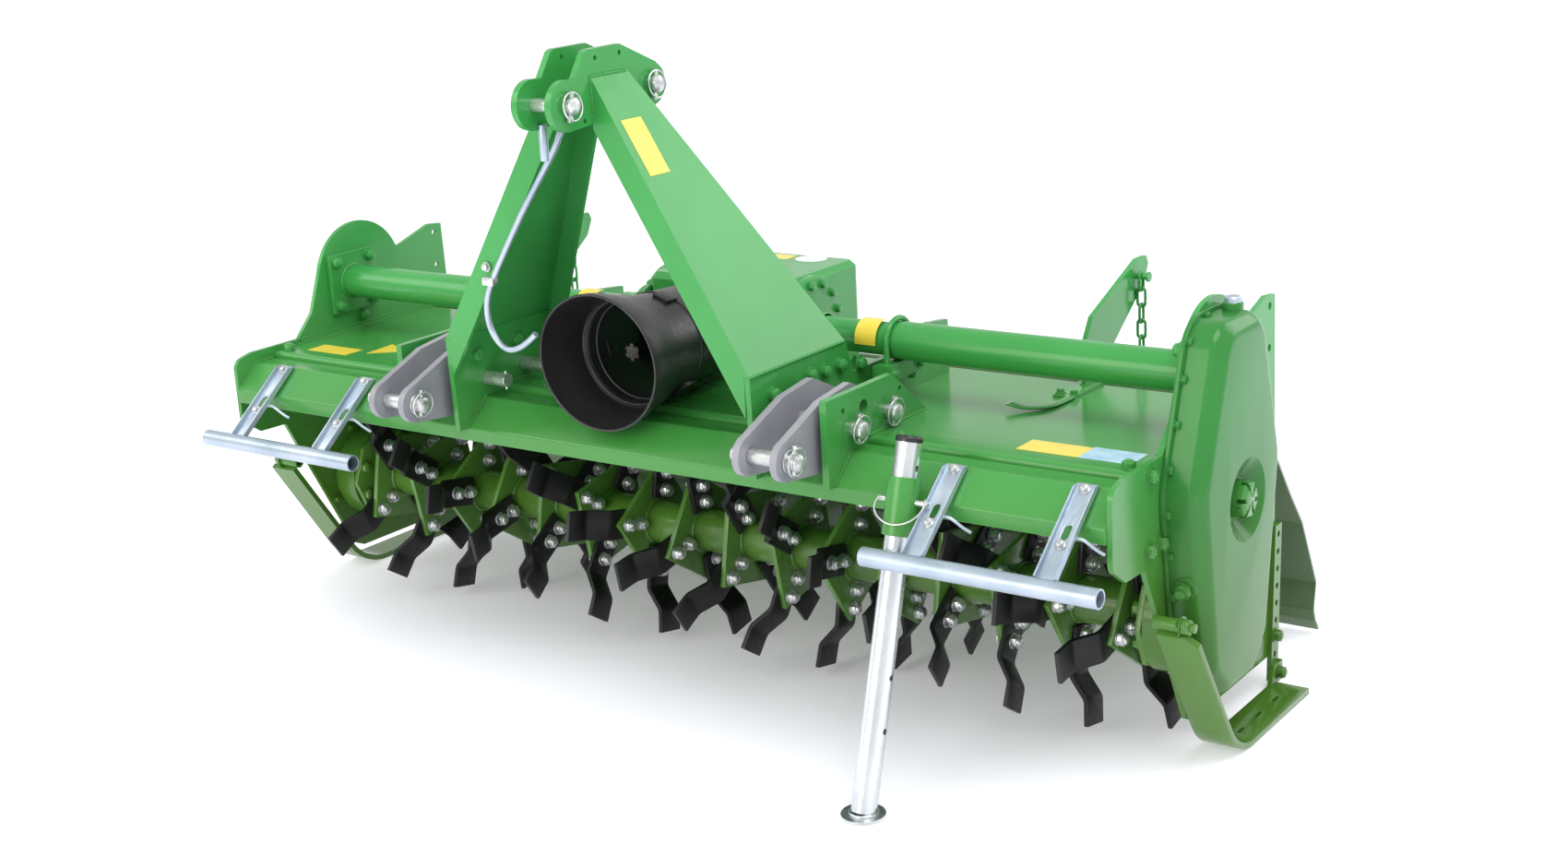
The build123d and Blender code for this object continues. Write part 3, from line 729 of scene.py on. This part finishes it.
# Shield: a flared mouth, a stepped wall with rings inside, and the collar on the gearbox.
shieldSizes = {
    "axis": 0.680, "front": -0.352, "rear": -0.060, "wall": 0.004, "swing": 0.022, "widen": 1.075,
}
shieldLine = [
    (0.132, 0.0), (0.1305, 0.020), (0.1225, 0.050), (0.1155, 0.078), (0.1125, 0.094), (0.1050, 0.102),
    (0.1025, 0.116), (0.1005, 0.150), (0.0980, 0.220), (0.0945, 0.292),
]
wall = shieldSizes["wall"]
shieldProfile = shieldLine + [(r - wall, h) for r, h in reversed(shieldLine)] + [shieldLine[0]]
shieldWall = lathe(shieldProfile, (0, shieldSizes["front"], shieldSizes["axis"]), (0, 1, 0), 96, angle=26)
beadLines = [
    (0.0015, 0.1300, 0.0026), (0.098, 0.1035, 0.0030), (0.122, 0.0975, 0.0026), (0.180, 0.0985, 0.0035),
]
shieldRings = [
    ring((0, shieldSizes["front"] + along, shieldSizes["axis"]), (0, 1, 0), radius, thick, 96, 10)
    for along, radius, thick in beadLines
]
lugs = []
for angle in (20, 140, 260):
    lug = soften(block((-0.018, 0, 0.094), (0.018, 0.030, 0.1065)), 0.002, 2)
    lug.data.transform(
        Matrix.Translation((0, shieldSizes["front"] + 0.150, shieldSizes["axis"]))
        @ turned(angle, "Y")
    )
    lugs.append(lug)
shield = joined([shieldWall, *shieldRings, *lugs])
# It widens a little and swings towards the gear case, about its fixed end.
swing = Matrix.Identity(4)
swing[0][1] = shieldSizes["swing"]
widen = Matrix.Diagonal((shieldSizes["widen"], 1, 1, 1))
middle = Vector((0, shieldSizes["rear"], shieldSizes["axis"]))
shield.data.transform(Matrix.Translation(middle) @ swing @ widen @ Matrix.Translation(-middle))
dress(shield, "ptoShield", "frame", "black_plastic", blackPlastic, "pto_shield")

# Input shaft: six splines on the end of a round shaft.
splineModel = soften(block((-0.0045, 0.012, 0.0), (0.0045, 0.0175, 0.075)), 0.0008, 1)
splines = copiesOf(splineModel, [turned(60 * i) for i in range(6)])
discard(splineModel)
core = lathe([(0.0, 0.075), (0.0125, 0.075), (0.0145, 0.073), (0.0145, 0.012), (0.0175, 0.010),
              (0.0175, -0.075), (0.0, -0.075)], (0, 0, 0), (0, 0, 1), 48)
ptoShaft = joined([core, splines])
ptoShaft.data.transform(aim((0, -0.1800, shieldSizes["axis"]), (0, -1, 0)))
dress(ptoShaft, "ptoShaft", "input_shaft", slotByNode["pto_shaft"], shaftSteel, "pto_shaft")
print("shield and shaft built")

# Gearbox: cast body with a bolted cover towards each tube, a front ring and a breather.
gearboxSizes = {
    "left": -0.150, "right": 0.190, "cover": 0.092, "boltCircle": 0.076, "tubeY": 0.007, "tubeZ": 0.687,
    "frontCircle": 0.079, "frontY": -0.1052,
}
gearboxParts = [easedCopy("gearbox", 0.006)]
coverBolts = []
for side, faceX in ((-1, gearboxSizes["left"]), (1, gearboxSizes["right"])):
    centre = Vector((faceX, gearboxSizes["tubeY"] + 0.060, gearboxSizes["tubeZ"]))
    gearboxParts.append(lathe(
        [(0.0, 0.016), (0.070, 0.016), (gearboxSizes["cover"] - 0.004, 0.014), (gearboxSizes["cover"], 0.010),
         (gearboxSizes["cover"], -0.002)], centre, (side, 0, 0), 64))
    tubeCentre = Vector((faceX, gearboxSizes["tubeY"], gearboxSizes["tubeZ"]))
    gearboxParts.append(lathe(
        [(0.062, 0.0), (0.060, 0.018), (0.052, 0.026), (0.043, 0.040), (0.0385, 0.062), (0.0385, 0.078),
         (0.0355, 0.080)], tubeCentre, (side, 0, 0), 64))
    for step in range(9):
        spot = centre + Vector((side * 0.015, *onCircle(gearboxSizes["boltCircle"], -50 + 30 * step)))
        coverBolts.append(aim(spot, (side, 0, 0), 20 * step))
for step in range(6):
    x, z = onCircle(gearboxSizes["frontCircle"], 30 + 60 * step)
    coverBolts.append(aim((x, gearboxSizes["frontY"], shieldSizes["axis"] + z), (0, -1, 0)))
gearboxParts.append(copiesOf(rimBolt, coverBolts))
gearboxParts.append(joined([
    soften(rod((-0.100, 0.060, 0.772), (0, 0, 1), 0.017, 0.018, 32), 0.002, 2),
    soften(rod((-0.100, 0.060, 0.790), (0, 0, 1), 0.012, 0.014, 24), 0.003, 2),
]))
dress(joined(gearboxParts), "gearbox", "frame", "green_paint", greenPaint, "gearbox")
print("gearbox built")

# Front guards: an open tube on two channel straps, with clamping rods behind each strap.
guardSizes = {
    "length": 0.446, "radius": 0.017, "wall": 0.003, "y": -0.450, "z": 0.434, "arm": 0.124, "wide": 0.040,
    "low": (-0.4440, 0.4455), "high": (-0.2935, 0.5650), "flange": 0.012, "sheet": 0.0035,
}
lowY, lowZ = guardSizes["low"]
highY, highZ = guardSizes["high"]
strapLong = math.hypot(highY - lowY, highZ - lowZ)
strapTurn = math.atan2(highZ - lowZ, highY - lowY)
strapModel = block((-guardSizes["wide"] / 2, 0, 0), (guardSizes["wide"] / 2, strapLong, guardSizes["flange"]))
inner = guardSizes["wide"] / 2 - guardSizes["sheet"]
bore(strapModel, block((-inner, -0.01, guardSizes["sheet"]), (inner, strapLong + 0.01, 0.05)))
# The flanges fall away towards the beam at the top end.
openEdit(strapModel)
selectAll()
bpy.ops.mesh.bisect(plane_co=(0, strapLong - 0.014, guardSizes["flange"]), plane_no=(0, 0.6, 0.8),
                    use_fill=True, clear_outer=True)
closeEdit()
for y in (0.085, 0.102):
    bore(strapModel, rod((0, y, -0.01), (0, 0, 1), 0.0065, 0.03, 24))
bore(strapModel, block((-0.0065, 0.085, -0.01), (0.0065, 0.102, 0.02)))
soften(strapModel, 0.0009, 2, 40)
strapWelds = weldLine([(-0.019, -0.002, 0.004), (0.019, -0.002, 0.004)], 0.003)
strapModel = joined([strapModel, strapWelds])
strapSpin = Matrix.Rotation(strapTurn, 4, "X")
for guardName, centreX in (("left", -0.815), ("right", 0.862)):
    strapSpots, boltSpots, rods = [], [], []
    for x in (centreX - guardSizes["arm"], centreX + guardSizes["arm"]):
        lift = Matrix.Translation((x, lowY, lowZ)) @ strapSpin
        strapSpots.append(lift)
        for along in (0.068, strapLong - 0.013):
            boltSpots.append(lift @ Matrix.Translation((0, along, guardSizes["sheet"])))
        rods.append(wire([(x + 0.006, -0.372, 0.497), (x + 0.024, -0.373, 0.500), (x + 0.036, -0.371, 0.494),
                          (x + 0.050, -0.366, 0.481), (x + 0.062, -0.360, 0.473)], 0.0028))
    tubeBar = pipe((centreX - guardSizes["length"] / 2, guardSizes["y"], guardSizes["z"]), (1, 0, 0),
                   guardSizes["radius"], guardSizes["wall"], guardSizes["length"])
    parts = [tubeBar, copiesOf(strapModel, strapSpots), *rods]
    dress(joined(parts), "guard" + guardName.capitalize(), "frame", "zinc", zincCoat, "guard_" + guardName)
    dress(copiesOf(smallBolt, boltSpots), "guardBolts" + guardName.capitalize(), "frame", "steel",
          brightSteel)
discard(strapModel)
print("guards built")

# Stand: capped tube with peg holes, its foot, and the sleeve's pin with a spring clip.
standSizes = {
    "x": 0.677, "lean": math.radians(17), "radius": 0.0225, "foot": 0.006, "footRadius": 0.040,
    "top": 0.617, "ridgeY": -0.350, "ridgeZ": 0.512, "sleeve": 0.0288,
}
lean = standSizes["lean"]
standWay = Vector((0, math.sin(lean), math.cos(lean)))
ridgeY = standSizes["ridgeY"] - (standSizes["sleeve"] + 0.0003) / math.cos(lean)


def standPoint(z):
    return Vector((standSizes["x"], ridgeY + (z - standSizes["ridgeZ"]) * math.tan(lean), z))


standLong = (standSizes["top"] - standSizes["foot"]) / math.cos(lean)
standTube = rod(standPoint(standSizes["foot"]), standWay, standSizes["radius"], standLong, 48)
for z in (0.142, 0.230, 0.572):
    bore(standTube, rod(standPoint(z) + Vector((-0.05, 0, 0)), (1, 0, 0), 0.0055, 0.1, 24))
soften(standTube, 0.001, 1, 50)
footPoint = standPoint(0)
standFoot = lathe([(0.0, 0.0), (standSizes["footRadius"] - 0.002, 0.0), (standSizes["footRadius"], 0.002),
                   (standSizes["footRadius"] - 0.001, 0.0055), (0.0, 0.006)], footPoint, (0, 0, 1), 48)
footWeld = ring(footPoint + Vector((0, 0.0018, 0.007)), (0, 0, 1), standSizes["radius"] + 0.001, 0.003, 40, 8)
dress(joined([standTube, standFoot, footWeld]), "standLeg", "stand", slotByNode["stand_leg"], standSteel,
      "stand_leg")
dress(lathe([(0.0228, -0.004), (0.0238, -0.003), (0.0238, 0.003), (0.021, 0.0065), (0.0, 0.0075)],
            standPoint(standSizes["top"]), standWay, 48), "standCap", "stand", "black_plastic", blackPlastic)
pinPoint = standPoint(0.517)
sleevePin = soften(rod(pinPoint + Vector((-0.046, 0, 0)), (1, 0, 0), 0.0050, 0.098, 24), 0.001, 2)
loopPoints = [
    (0.044, 0.004, 0.006), (0.050, -0.006, 0.002), (0.048, -0.022, -0.012), (0.030, -0.036, -0.026),
    (0.0, -0.041, -0.032), (-0.030, -0.036, -0.022), (-0.046, -0.020, -0.006), (-0.044, -0.004, 0.002),
]
clipLoop = wire([pinPoint + Vector(point) for point in loopPoints], 0.0017)
dress(joined([sleevePin, clipLoop]), "sleevePin", "frame", "steel", brightSteel)
print("stand built")

# Hitch pins with their spring clips: a domed pin, a peg through it and a ring round it.
def clipModel():
    peg = soften(rod((0, -0.026, 0), (0, 1, 0), 0.0042, 0.046, 24), 0.0012, 2)
    head = soften(block((-0.0055, 0.0185, -0.0045), (0.0055, 0.0290, 0.0045)), 0.0015, 2)
    loop = ring((0, 0.001, 0.005), (0, 0, 1), 0.0250, 0.0019, 48, 8)
    loop.data.transform(turned(6, "X"))
    cap = lathe([(0.0165, -0.001), (0.0168, 0.004), (0.0150, 0.0080), (0.0100, 0.0112), (0.0, 0.0125)],
                (0, 0, 0.003), (0, 0, 1), 32)
    return joined([peg, head, loop, cap])


def domedPin(start, depth, radius):
    rise = radius * 0.45
    profile = [(0.0, -rise), (radius * 0.55, -rise * 0.75), (radius * 0.9, -rise * 0.25), (radius, 0.0),
               (radius, depth), (radius * 0.9, depth + rise * 0.25), (radius * 0.55, depth + rise * 0.75),
               (0.0, depth + rise)]
    return lathe(profile, start, (1, 0, 0), 40)


springClip = clipModel()
clipSpots = []
hitch = {"x": 0.445, "y": -0.445, "z": 0.580, "half": 0.0475, "radius": 0.014, "long": 0.141,
         "washer": 0.021, "clipOut": 0.013, "plateClipX": 0.534, "rollPinX": 0.306}
headPin = {"start": -0.0585, "long": 0.117, "radius": 0.0125, "clipX": 0.054}
platePins = ((-0.285, 0.600), (-0.173, 0.604))
for side, sideName, overhang in ((-1, "left", 0.026), (1, "right", 0.020)):
    middleX = side * hitch["x"]
    pinStart = (middleX - hitch["half"] - overhang, hitch["y"], hitch["z"])
    pin = domedPin(pinStart, hitch["long"], hitch["radius"])
    washers = []
    for way in (-1, 1):
        place = (middleX + way * (hitch["half"] + 0.0002), hitch["y"], hitch["z"])
        washers.append(soften(rod(place, (way, 0, 0), hitch["washer"], 0.004, 32), 0.0008, 1))
    dress(joined([pin, *washers]), "hitchPin" + sideName.capitalize(), "frame",
          slotByNode["hitch_pin_" + sideName], brightSteel, "hitch_pin_" + sideName)
    endX = middleX + hitch["half"] + hitch["clipOut"]
    clipSpots.append(aim((endX, hitch["y"], hitch["z"]), (1, 0, 0), -12))
    for y, z in platePins:
        clipSpots.append(aim((side * hitch["plateClipX"], y, z), (side, 0, 0), -8))
headPins = (("top_pin", "topPin", -0.435, 1.172), ("rear_pin", "rearPin", -0.197, 1.183))
for nodeName, pieceName, y, z in headPins:
    pin = domedPin((headPin["start"], y, z), headPin["long"], headPin["radius"])
    dress(pin, pieceName, "frame", slotByNode[nodeName], brightSteel, nodeName)
    clipSpots.append(aim((headPin["clipX"], y, z), (1, 0, 0), 170))
clips = copiesOf(springClip, clipSpots)
discard(springClip)
rollPins = [
    soften(rod((side * hitch["rollPinX"], y, z - 0.019), (0, 0, 1), 0.003, 0.038, 16), 0.0008, 1)
    for side in (-1, 1) for y, z in platePins
]
dress(joined([clips, *rollPins]), "springClips", "frame", "steel", brightSteel)
headPeg = soften(rod((-0.026, -0.425, 1.070), (0, 0, 1), 0.008, 0.066, 32), 0.002, 2)
dress(headPeg, "headPeg", "frame", "zinc", zincCoat)

# Hook rod: a long bent rod with an open hook, clamped to the edge of the left mast leg.
hookTop = (-0.0200, -0.372, 1.1270)
hookLine = [
    (-0.0230, 1.1160), (-0.0350, 1.0890), (-0.0900, 1.0180), (-0.1360, 0.9580), (-0.1850, 0.8860),
    (-0.2260, 0.8240), (-0.2430, 0.7880), (-0.2450, 0.7560), (-0.2380, 0.7270), (-0.2190, 0.7030),
    (-0.1950, 0.6930), (-0.1680, 0.7010), (-0.1440, 0.7160), (-0.1240, 0.7320),
]
hookPoints = [hookTop] + [(x, -0.3832, z) for x, z in hookLine]
dress(wire(hookPoints, 0.006), "hookRod", "frame", slotByNode["hook_rod"], zincCoat, "hook_rod")
rodClamp = soften(block((-0.2440, -0.3915, 0.8180), (-0.2160, -0.3755, 0.8340)), 0.002, 2)
rodBolt = copiesOf(smallBolt, [aim((-0.2400, -0.3780, 0.8520), (0, -1, 0), 15)])
dress(joined([rodClamp, rodBolt]), "rodClamp", "frame", "steel", brightSteel)
print("pins and hook rod built")

# Bolts on the plates. Each row has a model, its face's x, places in y and z, and the way the heads point.
topRow = [(-0.312, 0.653), (-0.195, 0.660), (-0.149, 0.656), (-0.099, 0.657), (-0.031, 0.644)]
noseRow = [(-0.209, 0.563), (-0.217, 0.435), (-0.171, 0.436)]
flangeRow = [(0.007 + a, 0.687 + b) for a in (-0.05, 0.05) for b in (-0.05, 0.05)]
bearingRow = [(y, rotorSizes["axisZ"] + z) for y, z in (onCircle(0.118, 22.5 + 45 * i) for i in range(8))]
greenBolts = []
for side in (-1, 1):
    out, inward, up, down = (side, 0, 0), (-side, 0, 0), (0, 0, 1), (0, 0, -1)
    for model, faceX, places, way in (
        (plateBolt, 0.369, topRow, out), (plateBolt, 0.357, topRow, inward), (plateBolt, 1.055, noseRow, out),
        (plateBolt, 1.045, [(0.033, 0.601)], inward), (plateBolt, 1.020, [(-0.216, 0.5752)], up),
        (plateBolt, 1.033, flangeRow, inward), (rimBolt, 0.434, [(-0.0353, 0.6135), (0.0493, 0.6135)], down),
        (rimBolt, 0.449, [(-0.040, 0.634), (0.054, 0.634)], out), (bigBolt, 1.1056, [(-0.196, 0.304)], out),
        (smallBolt, 1.045, bearingRow, inward),
    ):
        greenBolts.append(boltsAt(model, [(side * faceX, y, z) for y, z in places], way))
    armBolts = [(side * 0.718 + shift, 0.141, 0.581) for shift in (-0.014, 0.014)]
    greenBolts.append(boltsAt(smallBolt, armBolts, up))
    strapBolts = [(side * 1.0640, 0.3094, 0.103), (side * 1.0736, 0.306, 0.031)]
    greenBolts.append(boltsAt(plateBolt, strapBolts, out))
dress(joined(greenBolts), "plateBolts", "frame", "green_paint", greenPaint)

# Weld beads. Each row has its face's x, the two ends in y and z, and the bead's size.
weldRows = [
    (1.0405, (-0.2000, 0.5755), (0.2500, 0.5755), 0.0030),
    (1.0440, (-0.3470, 0.5135), (-0.2920, 0.5630), 0.0035),
    (1.0440, (-0.2920, 0.5630), (-0.2420, 0.5630), 0.0030),
    (0.3690, (-0.3785, 0.6975), (-0.0780, 0.6975), 0.0035),
    (0.0470, (-0.3680, 1.1350), (-0.3700, 1.2120), 0.0038),
    (0.0470, (-0.3700, 1.2160), (-0.2680, 1.2160), 0.0038),
    (0.0470, (-0.2660, 1.2120), (-0.2460, 1.1450), 0.0038),
    (0.7125, (0.2060, 0.5815), (0.2450, 0.5815), 0.0030),
    (0.7235, (0.2060, 0.5815), (0.2450, 0.5815), 0.0030),
]
for faceX, rear in ((0.3695, 0.0900), (0.3565, 0.0900), (0.5065, -0.0450), (0.5215, -0.0450)):
    weldRows.append((faceX, (-0.3490, 0.5140), (-0.2930, 0.5630), 0.0032))
    weldRows.append((faceX, (-0.2350, 0.5760), (rear, 0.5760), 0.0032))

# Strips and collars, with the flat strip that curls up in front of each chain arm.
strip = {"x": 0.718, "deck": 0.575, "radius": 0.0100, "flatten": 0.35}
stripLine = [(0.012, 0.190, 0.5860), (0.014, 0.090, 0.5860), (0.006, 0.042, 0.5880), (-0.020, 0.020, 0.5940),
             (-0.038, 0.014, 0.6040), (-0.052, 0.012, 0.6180)]
onDeck = Matrix.Translation((0, 0, strip["deck"]))
flatten = onDeck @ Matrix.Scale(strip["flatten"], 4, (0, 0, 1)) @ onDeck.inverted()
seams = []
for side in (-1, 1):
    for faceX, start, end, size in weldRows:
        seams.append(weldLine([(side * faceX, *start), (side * faceX, *end)], size))
    edges = sorted((side * 1.0450, side * 1.0410))
    seams.append(soften(block((edges[0], -0.160, 0.5750), (edges[1], 0.250, 0.5880)), 0.001, 1))
    seams.append(ring((side * 1.0325, 0.007, 0.687), (1, 0, 0), 0.0375, 0.0040, 56, 8))
    flatStrip = wire([(side * strip["x"] + x, y, z) for x, y, z in stripLine], strip["radius"])
    flatStrip.data.transform(flatten)
    seams.append(flatStrip)
    lip = block((side * 1.0210 - 0.002, -0.3490, 0.4840), (side * 1.0210 + 0.002, -0.3440, 0.5120))
    seams.append(soften(lip, 0.0008, 1))
dress(joined(seams), "weldsAndStrips", "frame", "green_paint", greenPaint)
print("bolts and seams built")

# Right skid: chamfered top corner and three slots in the foot.
skidSizes = {"outer": 1.1363, "topY": -0.204, "topZ": 0.290, "chamfer": 0.020}
skid = cleanCopy("skid_right")
barWay = Vector((0, skidSizes["topY"] + 0.024, skidSizes["topZ"] - 0.006)).normalized()
corner = Vector((skidSizes["outer"] - skidSizes["chamfer"], skidSizes["topY"], skidSizes["topZ"]))
openEdit(skid)
selectAll()
bpy.ops.mesh.bisect(plane_co=corner, plane_no=Vector((1, 0, 0)) + barWay, use_fill=True, clear_outer=True)
closeEdit()
for y in (0.050, 0.130, 0.210):
    bore(skid, block((1.0975, y, -0.01), (1.1035, y + 0.026, 0.05)))
soften(skid, 0.0018, 2)
dress(skid, "skidRight", "frame", slotByNode["skid_right"], greenPaint, "skid_right")

# Blank label plates.
labelParts = {"yellow": [], "blue": [], "pale": []}


def flatLabel(low, high, z, colour):
    plate = block((low[0] / 1000, low[1] / 1000, z), (high[0] / 1000, high[1] / 1000, z + 0.0006))
    labelParts[colour].append(soften(plate, 0.0002, 1))


flatLabel((-980, -200), (-860, -148), 0.5751, "yellow")
flatLabel((797, -198), (915, -137), 0.5751, "yellow")
flatLabel((915, -198), (1015, -132), 0.5751, "blue")
flatLabel((-23, 190), (52, 230), 0.7781, "yellow")
triangle = rod((-0.806, -0.123, 0.5751), (0, 0, 1), 0.050, 0.0006, 3)
triangle.data.transform(Matrix.Translation((-0.806, -0.123, 0)) @ turned(-25)
                        @ Matrix.Translation((0.806, 0.123, 0)))
labelParts["yellow"].append(triangle)
oval = rod((0, 0, 0.7781), (0, 0, 1), 0.033, 0.0008, 48)
oval.scale = (1.05, 0.9, 1)
oval.location = (0.098, 0.213, 0)
labelParts["pale"].append(settle(oval))
for low in (-0.337, 0.359):
    sheet = [(0.0367, 0.0), (0.0371, 0.0), (0.0371, 0.047), (0.0367, 0.047), (0.0367, 0.0)]
    labelParts["yellow"].append(lathe(sheet, (low, 0.007, 0.687), (1, 0, 0), 24, 118.0, 72.0))
legWay = Vector((-322.5, 0, 520)).normalized()
legNormal = Vector((520, 0, 322.5)).normalized()
legLabel = block((-0.028, -0.057, 0.0002), (0.028, 0.057, 0.0008))
legSpot = Vector((0.1262, -0.325, 1.0885))
legTurn = Matrix((Vector((0, 1, 0)), legWay, legNormal)).transposed().to_4x4()
legLabel.data.transform(Matrix.Translation(legSpot) @ legTurn)
labelParts["yellow"].append(soften(legLabel, 0.0002, 1))
for colour, finish in (("yellow", labelYellow), ("blue", labelBlue), ("pale", labelPale)):
    dress(joined(labelParts[colour]), "labels" + colour.capitalize(), "frame", "black_plastic", finish)
print("labels built")

# Chains: welded links from the arm's bolt down to an eye on the board.
chainSizes = {
    "x": 0.7343, "y": 0.421, "bolt": 0.75, "boltRadius": 0.006, "lug": 0.392, "links": 11,
    "wire": 0.003, "halfWidth": 0.0085, "eye": 0.008,
}


def linkModel(long):
    bpy.ops.mesh.primitive_torus_add(
        major_radius=chainSizes["halfWidth"], minor_radius=chainSizes["wire"],
        major_segments=24, minor_segments=10,
    )
    link = bpy.context.object
    openEdit(link, "VERT")
    for side in (-1, 1):
        selectVertices(link, lambda spot: spot.x * side > 1e-6)
        bpy.ops.transform.translate(value=(side * (long / 2 - chainSizes["halfWidth"]), 0, 0))
        bpy.ops.mesh.select_all(action="DESELECT")
    closeEdit()
    smooth(link, 70)
    link.data.transform(turned(90, "Y"))
    return link


topWire = chainSizes["bolt"] + chainSizes["boltRadius"] + chainSizes["wire"] + 0.0002
lowWire = chainSizes["lug"] + 0.009 + chainSizes["eye"] - 2 * chainSizes["wire"]
count = chainSizes["links"]
wireSpan = (topWire - lowWire + (count - 1) * 2 * chainSizes["wire"]) / count
link = linkModel(wireSpan)
for side, sideName in ((-1, "left"), (1, "right")):
    x = side * chainSizes["x"]
    spots = []
    for i in range(count):
        z = topWire - wireSpan / 2 - i * (wireSpan - 2 * chainSizes["wire"])
        turn = 0 if i % 2 == 0 else 90
        spots.append(Matrix.Translation((x, chainSizes["y"], z))
                     @ turned(turn))
    chain = copiesOf(link, spots)
    dress(chain, "chain" + sideName.capitalize(), None, "green_paint", greenPaint, "chain_" + sideName)
    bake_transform(chain)
    eye = ring((x, chainSizes["y"], chainSizes["lug"] + 0.009), (0, 1, 0), chainSizes["eye"],
               chainSizes["wire"], 32, 10)
    dress(eye, "chainEye" + sideName.capitalize(), "board", "green_paint", greenPaint)
discard(link)
print("chains hung")

# Stage, lights and camera.
bpy.ops.mesh.primitive_plane_add(size=60, location=(0, 0, 0))
floor = bpy.context.object
floor.name = "floor"
floorFinish, floorNodes, floorLinks = newFinish("paleFloor")
floorShader = floorNodes["Principled BSDF"]
floorShader.inputs["Base Color"].default_value = (0.87, 0.86, 0.95, 1)
floorShader.inputs["Roughness"].default_value = 0.9
floorShader.inputs["Specular IOR Level"].default_value = 0.1
floorShader.inputs["Emission Color"].default_value = (1, 1, 1, 1)
# Painted light: the floor glows though it is no lamp, weakly near the machine for painted shade under it, and
# more strongly further out.
glowPlace = floorNodes.new("ShaderNodeTexCoord")
glowDistance = floorNodes.new("ShaderNodeVectorMath")
glowDistance.operation = "LENGTH"
floorLinks.new(glowPlace.outputs["Object"], glowDistance.inputs[0])
paintedFloorGlow = spread(floorNodes, floorLinks, glowDistance.outputs["Value"], (0.5, 1.5), (0.17, 0.45), True)
floorLinks.new(paintedFloorGlow, floorShader.inputs["Emission Strength"])
floor.data.materials.append(floorFinish)

world = bpy.data.worlds.new("softRoom")
bpy.context.scene.world = world
world.use_nodes = True
world.node_tree.nodes["Background"].inputs["Color"].default_value = (1.0, 1.0, 1.0, 1)
world.node_tree.nodes["Background"].inputs["Strength"].default_value = 0.85
lamps = {
    "skyPanel": {"place": (2.2, -0.8, 4.4), "aim": (0.2, 0, 0.5), "size": 2.6, "power": 110},
    "frontPanel": {"place": (-0.8, -5.2, 2.2), "aim": (0, 0, 0.5), "size": 3.0, "power": 100,
                   "tint": (1.0, 0.95, 0.80)},
    "backPanel": {"place": (2.7, 3.6, 2.9), "aim": (0.2, -0.3, 1.0), "size": 2.5, "power": 42},
    "leftPanel": {"place": (-3.5, -2.5, 3.2), "aim": (-0.3, 0, 0.5), "size": 2.4, "power": 45},
}
for lampName, lamp in lamps.items():
    bpy.ops.object.light_add(type="AREA", location=lamp["place"])
    light = bpy.context.object
    light.name = lampName
    light.data.size = lamp["size"]
    light.data.energy = lamp["power"]
    light.data.color = lamp.get("tint", (1, 1, 1))
    away = Vector(lamp["place"]) - Vector(lamp["aim"])
    light.rotation_euler = away.to_track_quat("Z", "Y").to_euler()
bpy.context.scene.view_settings.view_transform = "Standard"

view = {
    "place": (2.49471, -3.19656, 1.60603), "azimuth": 36.12, "elevation": 15.83, "roll": -3.08,
    "focal": 47.69,
}
a, e, r = (math.radians(view[key]) for key in ("azimuth", "elevation", "roll"))
back = Vector((math.sin(a) * math.cos(e), -math.cos(a) * math.cos(e), math.sin(e)))
level = (-back).cross(Vector((0, 0, 1))).normalized()
upright = level.cross(-back)
acrossView = level * math.cos(r) + upright * math.sin(r)
upView = upright * math.cos(r) - level * math.sin(r)
bpy.ops.object.camera_add()
camera = bpy.context.object
camera.name = "photoCamera"
camera.matrix_world = (
    Matrix.Translation(Vector(view["place"]))
    @ Matrix((acrossView, upView, back)).transposed().to_4x4()
)
camera.data.lens = view["focal"]
camera.data.sensor_width = 36
camera.data.clip_end = 200
bpy.context.scene.camera = camera

for model in (smallBolt, rimBolt, plateBolt, bigBolt):
    discard(model)
